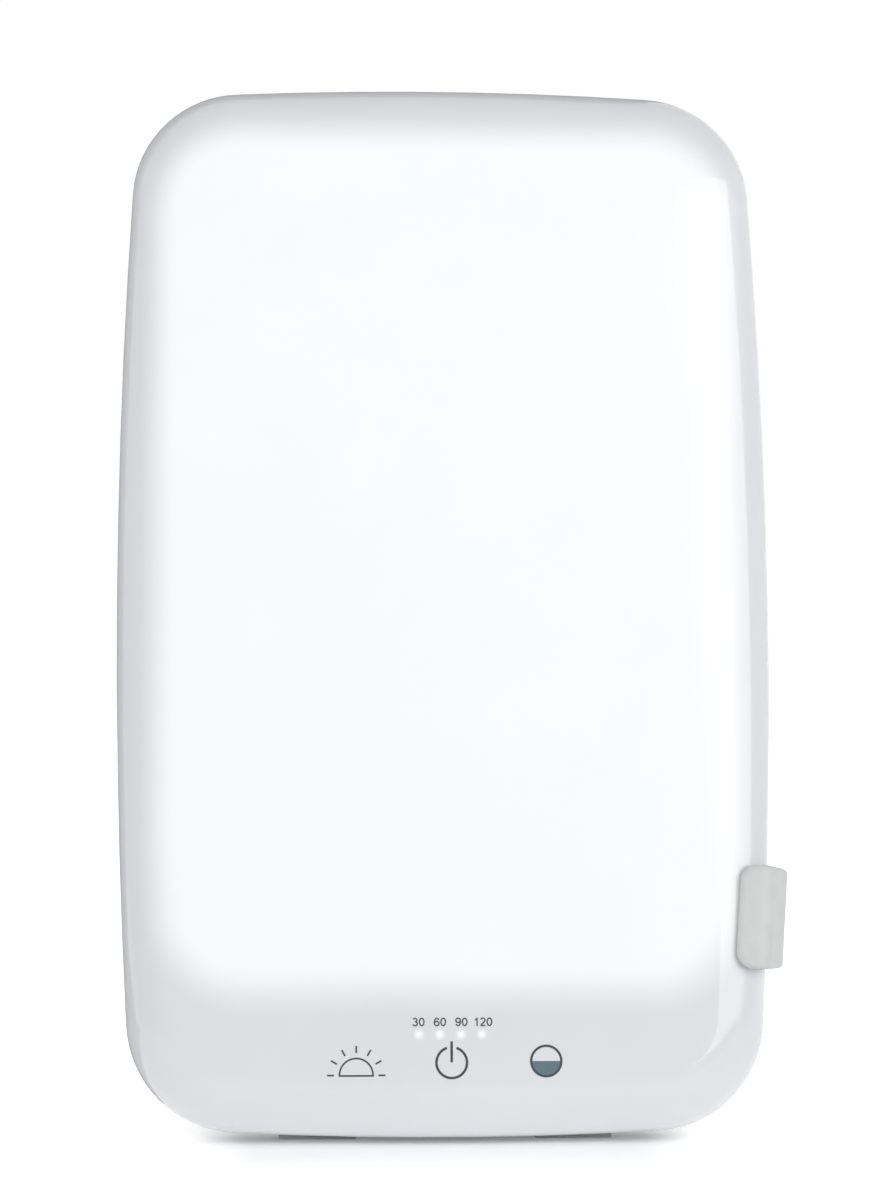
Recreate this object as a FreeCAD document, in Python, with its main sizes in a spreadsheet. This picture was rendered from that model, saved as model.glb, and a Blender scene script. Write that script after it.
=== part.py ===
import FreeCAD, Part
import math
import os
import re

import Sketcher
from FreeCAD import Placement, Rotation, Vector

# A light therapy lamp that stands on a table and leans back. Lengths are in millimetres, angles in degrees.
# Lamp frame, in which every piece is drawn upright: X to the viewer's right, Z up the panel, Y from front
# to back, with the joint between cover and housing at Y = 0. "Forward" is a distance from that joint
# towards the viewer. The finished pieces are then leaned back and lifted until the feet stand at Z = 0.

SIZES = {
    # outline of the lamp: four shallow arcs and four corner arcs
    "lamp_width": 310,
    "lamp_height": 502,
    "side_radius": 3330,
    "end_radius": 1870,
    "corner_radius": 52.6,
    # opal cover and rear housing
    "front_depth": 32,
    "front_roll": 25,
    "cover_wall": 3,
    "rear_depth": 24,
    "back_roll": 20,
    "roll_land": 2,
    "housing_wall": 2.5,
    "housing_step": 0.6,
    "lip_height": 3,
    "lip_wall": 1.2,
    "fit_gap": 0.15,
    "pad_gap": 0.3,
    "overcut": 1,
    # how it stands
    "lean": 12,
    "ground_gap": 0.6,
    "foot_length": 36,
    "foot_width": 9,
    "foot_spread": 120,
    "foot_setback": 8,
    "foot_seat": 3.2,
    "foot_corner": 2,
    # screws between housing and cover
    "screw_inset": 14,
    "screw_shank": 3,
    "screw_head": 5.6,
    "head_height": 2.2,
    "head_play": 1,
    "screw_play": 0.05,
    "screw_reach": 11,
    "hole_spare": 0.5,
    "post_radius": 4.2,
    "post_flare": 0.8,
    "side_screw_top": 101,
    "side_screw_bottom": 166,
    "end_screw_side": 72,
    "drive_reach": 0.32,
    "drive_blade": 0.08,
    "drive_depth": 0.6,
    # light box
    "light_side_margin": 25,
    "light_top_margin": 31,
    "light_bottom_margin": 67,
    "light_corner": 20,
    "tray_height": 17.5,
    "tray_wall": 1,
    "tray_roll": 9,
    "tray_slot_play": 1,
    "diffuser_thickness": 2,
    "spreader_thickness": 1.5,
    "spreader_margin": 6,
    "spreader_setback": 1,
    "strip_count": 6,
    "strip_side_margin": 30,
    "strip_end_margin": 16,
    "strip_width": 12,
    "board_thickness": 1.6,
    "board_corner": 2,
    "package_count": 12,
    "package_width": 2.8,
    "package_length": 3.5,
    "package_height": 0.8,
    "mount_end_margin": 24,
    # touch controls
    "touch_rise": 32,
    "touch_pitch": 44.2,
    "touch_pad": 13,
    "control_width": 124,
    "control_height": 34,
    "control_rise": 37,
    "control_gap": 9,
    "control_boss": 2.6,
    "indicator_rise": 44,
    "indicator_pitch": 9.7,
    "indicator_bore": 4.4,
    "indicator_length": 2,
    "indicator_width": 1.6,
    "shade_wall": 1.6,
    # driver electronics
    "driver_width": 110,
    "driver_height": 62,
    "driver_offset": 10,
    "driver_standoff": 5,
    "standoff_radius": 3.2,
    "board_screw_inset": 5,
    "board_screw_shank": 2.4,
    "board_screw_head": 4.2,
    "board_head_height": 1.5,
    "board_screw_length": 6,
    "parts_clearance": 3.9,
    "capacitor_radius": 4,
    "capacitor_gap": 3,
    "capacitor_inset": 33,
    "capacitor_crimp": 0.8,
    "inductor_radius": 8,
    "inductor_drop": 1,
    "inductor_inset": 27.5,
    "inductor_flange": 2,
    "inductor_waist": 1.5,
    "connector_length": 8,
    "connector_width": 6,
    "connector_height": 5,
    "connector_inset": 12,
    "connector_margin": 9,
    "control_connector_side": 25,
    # power inlet
    "inlet_inset": 60,
    "inlet_rise": 46,
    "inlet_barrel": 4,
    "inlet_bore": 3.15,
    "inlet_depth": 9.5,
    "inlet_pin": 1,
    "pin_recess": 1,
    "inlet_stub": 0.4,
    "inlet_flange": 6,
    "flange_height": 2,
    "inlet_sleeve": 4.8,
    "inlet_body": 10,
    "inlet_nut": 6,
    "nut_height": 2,
    "nut_chamfer": 0.6,
    # flat leads
    "lead_width": 4,
    "lead_thickness": 1.2,
    "lead_gap": 0.3,
    "lead_bend": 4,
    "lead_run": 16,
    "lead_spare": 6,
    # vents
    "vent_count": 19,
    "vent_pitch": 7,
    "vent_width": 2.4,
    "vent_length": 26,
    "vent_top_margin": 86,
    # clasp round the lamp's right edge
    "clasp_rise": 99.6,
    "clasp_turn": 1.7,
    "clasp_height": 49,
    "clasp_jaw": 17,
    "clasp_bend": 3,
    "clasp_bend_radius": 10,
    "clasp_proud": 7,
    "clasp_front": 2.6,
    "clasp_shoulder": 20.5,
    "clasp_back_bend": 7,
    "clasp_rear_jaw": 40,
    "clasp_rear_wall": 3.4,
    "clasp_taper_start": 13,
    "clasp_taper_radius": 60,
    "clasp_corner": 8,
    "clasp_rounding": 2.6,
    "liner_thickness": 1,
    "liner_gap": 0.3,
    "liner_margin": 1,
    "clasp_screw_inset": 31,
    "clasp_screw_pitch": 16,
    "clasp_screw_shank": 4,
    "clasp_screw_head": 8,
    "clasp_screw_length": 18,
    "clasp_post_cover": 2,
    "no_inset": 0,
    # hinge and leg
    "hinge_inset": 13,
    "hinge_height": 26,
    "knuckle_radius": 6.5,
    "knuckle_height": 13,
    "web_draft": 0.1,
    "hinge_play": 0.1,
    "washer_thickness": 0.8,
    "washer_inset": 0.5,
    "pin_radius": 3,
    "pin_head": 2,
    "pin_stub": 0.6,
    "bush_wall": 1,
    "bore_play": 0.05,
    "nut_radius": 5,
    "nut_length": 4,
    "leg_open": 55,
    "leg_length": 184,
    "leg_thickness": 7,
    "leg_clearance": 2.5,
    "leg_tip_height": 20,
    "leg_shoulder": 52,
    "leg_shoulder_drop": 3,
    "leg_neck": 14,
    "leg_neck_drop": 6,
    "leg_sole": 34,
    "leg_sweep": 90,
    "leg_tip_corner": 5,
    "leg_heel": 12,
    "leg_edge": 1.2,
    "shoe_height": 5,
    "shoe_wall": 1,
    "shoe_reach": 5,
    "shoe_corner": 3,
}

# Sizes that follow from the driving ones.
FITS = {
    "front_curve": "min(front_roll; front_depth - roll_land)",
    "back_curve": "min(back_roll; rear_depth - roll_land)",
    "lift": "(lamp_height / 2 - housing_step - back_curve) * cos(lean)"
    " + (rear_depth - back_curve) * sin(lean) + back_curve + ground_gap",
    # places, measured from the ends of the lamp
    "side_screw_rise": "lamp_height / 2 - side_screw_top",
    "side_screw_drop": "lamp_height / 2 - side_screw_bottom",
    "vent_high": "lamp_height / 2 - vent_top_margin",
    "touch_drop": "lamp_height / 2 - touch_rise",
    "control_drop": "lamp_height / 2 - control_rise",
    "indicator_drop": "lamp_height / 2 - indicator_rise",
    "inlet_drop": "lamp_height / 2 - inlet_rise",
    "inlet_side": "lamp_width / 2 - inlet_inset",
    "clasp_drop": "lamp_height / 2 - clasp_rise",
    # light box
    "light_width": "lamp_width - 2 * light_side_margin",
    "light_height": "lamp_height - light_top_margin - light_bottom_margin",
    "light_rise": "(light_bottom_margin - light_top_margin) / 2",
    "strip_length": "light_height - 2 * strip_end_margin",
    "strip_pitch": "(light_width - 2 * strip_side_margin) / (strip_count - 1)",
    "package_pitch": "strip_length / package_count",
    "mount_side": "(strip_count / 2 - 1) * strip_pitch",
    "mount_pitch": "light_height / 2 - mount_end_margin",
    "spreader_front": "spreader_thickness - spreader_setback",
    "tray_front": "spreader_thickness - spreader_setback + tray_height",
    # boards and what stands on them
    "board_face": "front_depth - cover_wall - control_gap",
    "driver_drop": "mount_pitch / 2 - light_rise",
    "driver_back": "rear_depth - housing_wall - driver_standoff",
    "capacitor_height": "driver_back - board_thickness - spreader_setback - parts_clearance",
    # clasp, hinge and leg
    "clasp_tilt": "asin(clasp_drop / side_radius) + clasp_turn * 1 deg",
    "side_line": "lamp_width / 2 - side_radius + sqrt(side_radius ^ 2 - clasp_drop ^ 2)",
    "clasp_face": "front_depth + clasp_front + liner_gap",
    "clasp_inside": "liner_gap + liner_thickness",
    "clasp_back": "rear_depth + liner_gap + liner_thickness + clasp_rear_wall",
    "clasp_rear_height": "hinge_height + 2 * clasp_rounding",
    "clasp_screw_tip": "clasp_screw_length - clasp_back",
    "hinge_back": "clasp_back + knuckle_radius",
    "knuckle_start": "knuckle_height / 2 + washer_thickness + 2 * hinge_play",
    "tip_side": "-hinge_inset - (leg_length - leg_sole / 2) * cos(leg_open)",
    "tip_back": "hinge_back + (leg_length - leg_sole / 2) * sin(leg_open)",
    "ground_slope": "atan((sin(leg_open) * tan(lean) - cos(leg_open) * sin(clasp_tilt)) / cos(clasp_tilt))",
    "leg_drop": "-((tip_back * sin(lean) - lift) / cos(lean) + clasp_drop + tip_side * sin(clasp_tilt))"
    " / cos(clasp_tilt)",
}

doc = FreeCAD.newDocument("light_therapy_lamp")
finished = []


# ---------------------------------------------------------------- sheets and expressions


def fill_sheet(name, cells):
    sheet = doc.addObject("Spreadsheet::Sheet", name)
    for row, (alias, text) in enumerate(cells.items(), 1):
        sheet.set(f"A{row}", alias)
        sheet.set(f"B{row}", text)
        sheet.setAlias(f"B{row}", alias)
    doc.recompute()
    return sheet


def bind(text):
    """The expression text with each size named by the sheet that holds it."""
    homes = {**dict.fromkeys(SIZES, "Spec."), **dict.fromkeys(FITS, "Fits.")}
    return re.sub(r"[a-z_]+", lambda word: homes.get(word.group(), "") + word.group(), text)


spec = fill_sheet("Spec", {alias: str(number) for alias, number in SIZES.items()})
fits = fill_sheet("Fits", {alias: "=" + bind(text) for alias, text in FITS.items()})


def size(alias):
    number = getattr(spec if alias in SIZES else fits, alias)
    return float(getattr(number, "Value", number))


def side_at(height):
    """X of the lamp's side at this height above its middle."""
    return f"(lamp_width / 2 - side_radius + sqrt(side_radius ^ 2 - ({height}) ^ 2))"


def end_at(side):
    """Z of the lamp's top at this distance from its middle."""
    return f"(lamp_height / 2 - end_radius + sqrt(end_radius ^ 2 - ({side}) ^ 2))"


# ---------------------------------------------------------------- sketches


def new_body(label):
    body = doc.addObject("PartDesign::Body", label)
    body.AllowCompound = True
    return body


def new_sketch(body, role, forward="0"):
    """A sketch on an origin plane. On XZ_Plane its normal points forward, out of the lamp's front."""
    sketch = body.newObject("Sketcher::SketchObject", "profile")
    plane = next(item for item in body.Origin.OriginFeatures if item.Role == role)
    sketch.AttachmentSupport = [(plane, "")]
    sketch.MapMode = "FlatFace"
    sketch.setExpression("AttachmentOffset.Base.z", bind(forward))
    return sketch


def fix(sketch, kind, where, start, text):
    """A dimension that holds at its start value and is then driven by the sheets."""
    index = sketch.addConstraint(Sketcher.Constraint(kind, *where, start))
    sketch.setExpression(f"Constraints[{index}]", bind(text))


def fix_point(sketch, geometry, end, start, place):
    fix(sketch, "DistanceX", (-1, 1, geometry, end), start[0], place[0])
    fix(sketch, "DistanceY", (-1, 1, geometry, end), start[1], place[1])


def add_circles(sketch, places, radius):
    for number, place in enumerate(places):
        start = (10.0 * number, 5.0)
        index = sketch.addGeometry(Part.Circle(Vector(*start, 0), Vector(0, 0, 1), 2.0), False)
        fix_point(sketch, index, 3, start, place)
        fix(sketch, "Radius", (index,), 2.0, radius)


def add_polygon(sketch, places):
    """Straight lines through the places, closed."""
    count = len(places)
    turn = 2 * math.pi / count
    starts = [(30 * math.cos(turn * n), 30 * math.sin(turn * n)) for n in range(count)]
    first = sketch.GeometryCount
    for n in range(count):
        ends = Vector(*starts[n], 0), Vector(*starts[(n + 1) % count], 0)
        sketch.addGeometry(Part.LineSegment(*ends), False)
    for n in range(count):
        sketch.addConstraint(Sketcher.Constraint("Coincident", first + n, 2, first + (n + 1) % count, 1))
    for n in range(count):
        fix_point(sketch, first + n, 1, starts[n], places[n])


def add_rectangle(sketch, left, bottom, right, top):
    add_polygon(sketch, [(left, bottom), (right, bottom), (right, top), (left, top)])


def arc_between(centre, radius, first, last):
    start = math.atan2(first[1] - centre[1], first[0] - centre[0])
    stop = math.atan2(last[1] - centre[1], last[0] - centre[0])
    if stop < start:
        stop += 2 * math.pi
    return Part.ArcOfCircle(Part.Circle(Vector(*centre, 0), Vector(0, 0, 1), radius), start, stop)


def add_outline(sketch, grow):
    """The lamp's barrel outline, grown outwards by an amount: eight arcs, each tangent to the next."""
    side, end, corner = size("side_radius"), size("end_radius"), size("corner_radius")
    side_x = size("lamp_width") / 2 - side
    end_z = size("lamp_height") / 2 - end
    apart = math.hypot(side_x, end_z)
    reach = ((side - corner) ** 2 - (end - corner) ** 2 + apart**2) / (2 * apart)
    rise = math.sqrt((side - corner) ** 2 - reach**2)
    along = Vector(-side_x / apart, end_z / apart, 0)
    middle = Vector(side_x, 0, 0) + along * reach
    corner_x, corner_z = (middle + Vector(-along.y, along.x, 0) * rise)[:2]
    if corner_x < 0:
        corner_x, corner_z = (middle - Vector(-along.y, along.x, 0) * rise)[:2]
    beside = side / (side - corner)
    above = end / (end - corner)
    on_side = (side_x + (corner_x - side_x) * beside, corner_z * beside)
    on_end = (corner_x * above, end_z + (corner_z - end_z) * above)

    def flip(point, x, z):
        return point[0] * x, point[1] * z

    arcs = []
    for x, z in ((1, 1), (-1, 1), (-1, -1), (1, -1)):
        before, after = (on_side, on_end) if x * z > 0 else (on_end, on_side)
        centre = flip((corner_x, corner_z), x, z)
        arcs.append(arc_between(centre, corner, flip(before, x, z), flip(after, x, z)))
    right = arc_between((side_x, 0), side, flip(on_side, 1, -1), on_side)
    top = arc_between((0, end_z), end, on_end, flip(on_end, -1, 1))
    left = arc_between((-side_x, 0), side, flip(on_side, -1, 1), flip(on_side, -1, -1))
    bottom = arc_between((0, -end_z), end, flip(on_end, -1, -1), flip(on_end, 1, -1))
    first = sketch.GeometryCount
    sketch.addGeometry([right, arcs[0], top, arcs[1], left, arcs[2], bottom, arcs[3]], False)
    rules = [("Tangent", first + n, 2, first + (n + 1) % 8, 1) for n in range(8)]
    rules += [("PointOnObject", first + n, 3, -1) for n in (0, 4)]
    rules += [("PointOnObject", first + n, 3, -2) for n in (2, 6)]
    rules += [("Equal", first, first + 4), ("Equal", first + 2, first + 6)]
    rules += [("Equal", first + 1, first + n) for n in (3, 5, 7)]
    sketch.addConstraint([Sketcher.Constraint(*rule) for rule in rules])
    fix(sketch, "Radius", (first,), side, f"side_radius + ({grow})")
    fix(sketch, "Radius", (first + 2,), end, f"end_radius + ({grow})")
    fix(sketch, "Radius", (first + 1,), corner, f"corner_radius + ({grow})")
    fix(sketch, "DistanceX", (-1, 1, first, 3), side_x, "lamp_width / 2 - side_radius")
    fix(sketch, "DistanceX", (first + 4, 3, -1, 1), side_x, "lamp_width / 2 - side_radius")
    fix(sketch, "DistanceY", (-1, 1, first + 2, 3), end_z, "lamp_height / 2 - end_radius")
    fix(sketch, "DistanceY", (first + 6, 3, -1, 1), end_z, "lamp_height / 2 - end_radius")


# ---------------------------------------------------------------- features


def pad(body, sketch, length, back=False, both=False):
    """Forward on XZ_Plane, or backward with back. With both, half of the length lies on each side."""
    feature = body.newObject("PartDesign::Pad", "pad")
    feature.Profile = sketch
    feature.Reversed = back
    if both:
        feature.SideType = "Symmetric"
    feature.setExpression("Length", bind(length))
    doc.recompute()
    return feature


def pocket(body, sketch, length=None, ahead=True):
    """Cuts along the sketch's normal with ahead, or against it, all the way through without a length."""
    before = body.Shape.Volume
    feature = body.newObject("PartDesign::Pocket", "pocket")
    feature.Profile = sketch
    feature.Reversed = ahead
    if length is None:
        feature.Type = "ThroughAll"
    else:
        feature.setExpression("Length", bind(length))
    doc.recompute()
    if body.Shape.Volume > before - 0.01:
        raise RuntimeError(f"a pocket of {body.Label} cuts nothing")
    return feature


def fillet(body, edges, radius, kind="Fillet"):
    base = body.Tip
    feature = body.newObject("PartDesign::" + kind, kind.lower())
    feature.Base = (base, edges)
    feature.setExpression("Radius" if kind == "Fillet" else "Size", bind(radius))
    doc.recompute()
    return feature


def cut_body(body, tools, kind="Cut"):
    feature = body.newObject("PartDesign::Boolean", kind.lower())
    feature.Type = kind
    feature.Group = tools
    doc.recompute()
    return feature


def repeat(body, feature, axis, length, count):
    """Copies a feature along one axis of its sketch, length being the whole run."""
    pattern = body.newObject("PartDesign::LinearPattern", "pattern")
    pattern.Originals = [feature]
    pattern.Direction = (feature.Profile[0], [axis])
    pattern.setExpression("Length", bind(length))
    pattern.setExpression("Occurrences", bind(count))
    body.Tip = pattern
    doc.recompute()
    return pattern


def grid(body, feature, runs):
    """Copies a feature along two axes, each run being (axis, length, count)."""
    both = body.newObject("PartDesign::MultiTransform", "grid")
    steps = []
    for axis, length, count in runs:
        step = body.newObject("PartDesign::LinearPattern", "step")
        step.Direction = (feature.Profile[0], [axis])
        step.setExpression("Length", bind(length))
        step.setExpression("Occurrences", bind(count))
        steps.append(step)
    both.Originals = [feature]
    both.Transformations = steps
    body.Tip = both
    doc.recompute()
    return both


def edges_of(body, test):
    return [f"Edge{n}" for n, edge in enumerate(body.Shape.Edges, 1) if test(edge.BoundBox, edge)]


def along(box, axis):
    """Whether an edge of this box runs straight along the axis."""
    spans = {"x": box.XLength, "y": box.YLength, "z": box.ZLength}
    return all(span < 0.001 for name, span in spans.items() if name != axis)


def near(value, target):
    return abs(value - target) < 0.01


def combine(kind, label, base, tool):
    result = doc.addObject("Part::" + kind, label)
    result.Base = base
    result.Tool = tool
    doc.recompute()
    return result


def block(label, low, high):
    """A box between two corners, each given by three expressions."""
    box = doc.addObject("Part::Box", label)
    for axis, name, start, stop in zip("xyz", ("Length", "Width", "Height"), low, high):
        box.setExpression(name, bind(f"({stop}) - ({start})"))
        box.setExpression(f"Placement.Base.{axis}", bind(start))
    doc.recompute()
    return box


# ---------------------------------------------------------------- placing the pieces

LEAN = Placement(Vector(0, 0, size("lift")), Rotation(Vector(1, 0, 0), -size("lean")))
CLASP = Placement(
    Vector(size("side_line"), 0, -size("clasp_drop")),
    Rotation(Vector(0, 1, 0), size("clasp_tilt")),
)
HINGE = Placement(
    Vector(-size("hinge_inset"), size("hinge_back"), 0),
    Rotation(Vector(0, 0, 1), -size("leg_open")),
)
LEG = LEAN.multiply(CLASP).multiply(HINGE)


def finish(piece, label, place=LEAN):
    """Names a finished piece and sets it where it belongs in the leaning lamp."""
    piece.Label = label
    piece.Placement = place.multiply(piece.Placement)
    finished.append(piece)
    return piece


# ---------------------------------------------------------------- the two shells


def cover_form(label, grow, start):
    """The cover's outer form, grown by an amount: barrel outline, flat front and rolled front edge."""
    body = new_body(label)
    sketch = new_sketch(body, "XZ_Plane", f"-({start})")
    add_outline(sketch, grow)
    pad(body, sketch, f"front_depth + ({grow}) + ({start})")
    half = size("front_depth") / 2
    fillet(body, edges_of(body, lambda box, edge: box.YMax < -half), f"front_curve + ({grow})")
    return body


def housing_form(label, grow, start):
    """The housing's outer form, grown by an amount: barrel outline, flat back and rolled back edge."""
    body = new_body(label)
    sketch = new_sketch(body, "XZ_Plane", start)
    add_outline(sketch, f"({grow}) - housing_step")
    pad(body, sketch, f"rear_depth + ({grow}) + ({start})", back=True)
    half = size("rear_depth") / 2
    fillet(body, edges_of(body, lambda box, edge: box.YMin > half), f"back_curve + ({grow})")
    return body


def housing_screw_places():
    """Two screws up each side and two at each end, all at one distance from the outline."""
    upper = side_at("side_screw_rise")
    lower = side_at("side_screw_drop")
    end = end_at("end_screw_side")
    places = []
    for sign in ("", "-"):
        places.append((f"{sign}({upper} - screw_inset)", "side_screw_rise"))
        places.append((f"{sign}({lower} - screw_inset)", "-side_screw_drop"))
        places.append((f"{sign}end_screw_side", f"{end} - screw_inset"))
        places.append((f"{sign}end_screw_side", f"-({end} - screw_inset)"))
    return places


def control_screw_places():
    side = "control_width / 2 - board_screw_inset"
    rise = "control_height / 2 - board_screw_inset"
    return [(f"{x}({side})", f"{z}({rise}) - control_drop") for x in ("", "-") for z in ("", "-")]


def driver_screw_places():
    side = "driver_width / 2 - board_screw_inset"
    rise = "driver_height / 2 - board_screw_inset"
    return [
        (f"{x}({side}) - driver_offset", f"{z}({rise}) - driver_drop")
        for x in ("", "-")
        for z in ("", "-")
    ]


def tray_screw_places():
    return [
        (f"{sign}mount_side", f"light_rise + ({row}) * mount_pitch")
        for sign in ("", "-")
        for row in (-1, 0, 1)
    ]


def clasp_screw_places():
    """In the lamp frame, on a line that follows the clasp's tilt."""
    places = []
    for sign in ("", "-"):
        up = f"({sign}clasp_screw_pitch / 2)"
        x = f"side_line - clasp_screw_inset * cos(clasp_tilt) + {up} * sin(clasp_tilt)"
        z = f"-clasp_drop + clasp_screw_inset * sin(clasp_tilt) + {up} * cos(clasp_tilt)"
        places.append((x, z))
    return places


def foot_blocks(label, grow, low, high):
    """The room of both feet, from one height to another, wider by an amount all round."""
    blocks = []
    for sign in ("-", ""):
        side = f"{sign}foot_spread / 2"
        corner = (f"{side} - foot_length / 2 - ({grow})", f"foot_setback - foot_width / 2 - ({grow})", low)
        other = (f"{side} + foot_length / 2 + ({grow})", f"foot_setback + foot_width / 2 + ({grow})", high)
        blocks.append(block(label, corner, other))
    return blocks


FOOT_CEILING = "-(" + end_at("foot_spread / 2") + " - foot_seat - housing_step)"


def front_cover():
    """Opal cover: a flat-fronted shell with screw bosses along its rim and four for the control board."""
    core = cover_form("cover_core", "-cover_wall", "overcut")
    bosses = new_sketch(core, "XZ_Plane")
    add_circles(bosses, housing_screw_places(), "post_radius")
    pocket(core, bosses)
    bosses = new_sketch(core, "XZ_Plane", "board_face")
    add_circles(bosses, control_screw_places(), "control_boss")
    pocket(core, bosses)
    body = cover_form("front_cover", "0", "0")
    cut_body(body, [core])
    holes = new_sketch(body, "XZ_Plane")
    add_circles(holes, housing_screw_places(), "screw_shank / 2 + screw_play")
    pocket(body, holes, "screw_reach + overcut")
    holes = new_sketch(body, "XZ_Plane", "board_face")
    add_circles(holes, control_screw_places(), "board_screw_shank / 2 + screw_play")
    pocket(body, holes, "board_screw_length - board_thickness + hole_spare")
    finish(body, "front_cover")


def rear_housing():
    """Housing with posts, standoffs, a lip that enters the cover, foot seats, vents and an inlet hole."""
    core = housing_form("housing_core", "-housing_wall", "overcut")
    posts = new_sketch(core, "XZ_Plane", "overcut")
    add_circles(posts, housing_screw_places(), "post_radius + post_flare")
    pocket(core, posts, ahead=False)
    for places, forward, radius in (
        (tray_screw_places(), "-spreader_setback", "post_radius"),
        (driver_screw_places(), "-driver_back", "standoff_radius"),
        (clasp_screw_places(), "clasp_screw_tip + clasp_post_cover", "post_radius + post_flare"),
    ):
        posts = new_sketch(core, "XZ_Plane", forward)
        add_circles(posts, places, radius)
        pocket(core, posts, ahead=False)
    ceiling = FOOT_CEILING + " + housing_wall"
    walls = foot_blocks("foot_wall", "housing_wall", "-lamp_height / 2 - overcut", ceiling)
    core = combine("Cut", "left_core", core, walls[0])
    core = combine("Cut", "right_core", core, walls[1])
    tool = new_body("housing_tool")
    tool.BaseFeature = core
    body = housing_form("housing_shell", "0", "0")
    cut_body(body, [tool])
    lip = new_sketch(body, "XZ_Plane", "-housing_wall")
    add_outline(lip, "-cover_wall - fit_gap")
    add_outline(lip, "-cover_wall - fit_gap - lip_wall")
    pad(body, lip, "housing_wall + lip_height")
    holes = new_sketch(body, "XZ_Plane", "-rear_depth")
    add_circles(holes, housing_screw_places(), "screw_shank / 2 + screw_play")
    counterbore = body.newObject("PartDesign::Hole", "counterbore")
    counterbore.Profile = holes
    counterbore.Reversed = True
    counterbore.DepthType = "ThroughAll"
    counterbore.HoleCutType = "Counterbore"
    counterbore.HoleCutCustomValues = True
    counterbore.setExpression("Diameter", bind("screw_shank + 2 * screw_play"))
    counterbore.setExpression("HoleCutDiameter", bind("screw_head + head_play"))
    counterbore.setExpression("HoleCutDepth", bind("rear_depth - screw_reach + head_height"))
    doc.recompute()
    for places, forward, radius, depth in (
        (tray_screw_places(), "-spreader_setback", "screw_shank / 2 + screw_play", "screw_reach"),
        (driver_screw_places(), "-driver_back", "board_screw_shank / 2 + screw_play", "driver_standoff"),
        (clasp_screw_places(), "clasp_screw_tip + hole_spare", "clasp_screw_shank / 2 + screw_play", None),
        ([("-inlet_side", "-inlet_drop")], "-housing_wall", "inlet_barrel + fit_gap", None),
    ):
        holes = new_sketch(body, "XZ_Plane", forward)
        add_circles(holes, places, radius)
        pocket(body, holes, depth, ahead=False)
    for middle in ("vent_high", "-driver_drop"):
        slot = new_sketch(body, "XZ_Plane", "-rear_depth")
        left = "-(vent_count - 1) * vent_pitch / 2 - vent_width / 2"
        low = f"{middle} - vent_length / 2"
        add_rectangle(slot, left, low, f"{left} + vent_width", f"{low} + vent_length")
        first = pocket(body, slot, "housing_wall + overcut")
        repeat(body, first, "H_Axis", "(vent_count - 1) * vent_pitch", "vent_count")
    seats = foot_blocks("foot_hole", "fit_gap", "-lamp_height / 2 - overcut", FOOT_CEILING)
    result = combine("Cut", "left_seat", body, seats[0])
    result = combine("Cut", "right_seat", result, seats[1])
    finish(result, "rear_housing")


# ---------------------------------------------------------------- light box


def light_box_block(body, grow, back, front, roll=None):
    """A rounded rectangle of the light box's outline, from one forward distance to another."""
    sketch = new_sketch(body, "XZ_Plane", back)
    half, rise = f"light_width / 2 + ({grow})", f"light_height / 2 + ({grow})"
    add_rectangle(sketch, f"-({half})", f"light_rise - ({rise})", half, f"light_rise + ({rise})")
    pad(body, sketch, f"({front}) - ({back})")
    fillet(body, edges_of(body, lambda box, edge: along(box, "y")), f"light_corner + ({grow})")
    if roll:
        rear = body.Shape.BoundBox.YMax
        fillet(body, edges_of(body, lambda box, edge: near(box.YMin, rear)), roll)


def reflector_tray():
    """Deep white tray: rolled floor edges, open front, one long slot for each row of LEDs."""
    core = new_body("tray_core")
    floor = "spreader_front + tray_wall"
    light_box_block(core, "-tray_wall", floor, "tray_front + overcut", "tray_roll - tray_wall")
    body = new_body("reflector_tray")
    light_box_block(body, "0", "spreader_front", "tray_front", "tray_roll")
    cut_body(body, [core])
    slot = new_sketch(body, "XZ_Plane", "spreader_front - overcut")
    left = "-(strip_count - 1) * strip_pitch / 2 - strip_width / 2 - tray_slot_play"
    half = "strip_length / 2 + tray_slot_play"
    right = f"{left} + strip_width + 2 * tray_slot_play"
    add_rectangle(slot, left, f"light_rise - ({half})", right, f"light_rise + ({half})")
    first = pocket(body, slot, "tray_wall + 2 * overcut")
    repeat(body, first, "H_Axis", "(strip_count - 1) * strip_pitch", "strip_count")
    holes = new_sketch(body, "XZ_Plane", "spreader_front - overcut")
    add_circles(holes, tray_screw_places(), "screw_shank / 2 + fit_gap")
    pocket(body, holes, "tray_wall + 2 * overcut")
    finish(body, "reflector_tray")


def diffuser_sheet():
    body = new_body("diffuser_sheet")
    light_box_block(body, "0", "tray_front", "tray_front + diffuser_thickness")
    finish(body, "diffuser_sheet")


def heat_spreader():
    """Aluminium sheet that carries the LED boards and spreads their heat."""
    body = new_body("heat_spreader")
    light_box_block(body, "-spreader_margin", "-spreader_setback", "spreader_front")
    holes = new_sketch(body, "XZ_Plane", "-spreader_setback - overcut")
    add_circles(holes, tray_screw_places(), "screw_shank / 2 + fit_gap")
    pocket(body, holes)
    finish(body, "heat_spreader")


def led_strips():
    body = new_body("led_strips")
    sketch = new_sketch(body, "XZ_Plane", "spreader_front")
    left = "-(strip_count - 1) * strip_pitch / 2 - strip_width / 2"
    low = "light_rise - strip_length / 2"
    add_rectangle(sketch, left, low, f"{left} + strip_width", f"{low} + strip_length")
    first = pad(body, sketch, "board_thickness")
    repeat(body, first, "H_Axis", "(strip_count - 1) * strip_pitch", "strip_count")
    finish(body, "led_strips")


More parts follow.
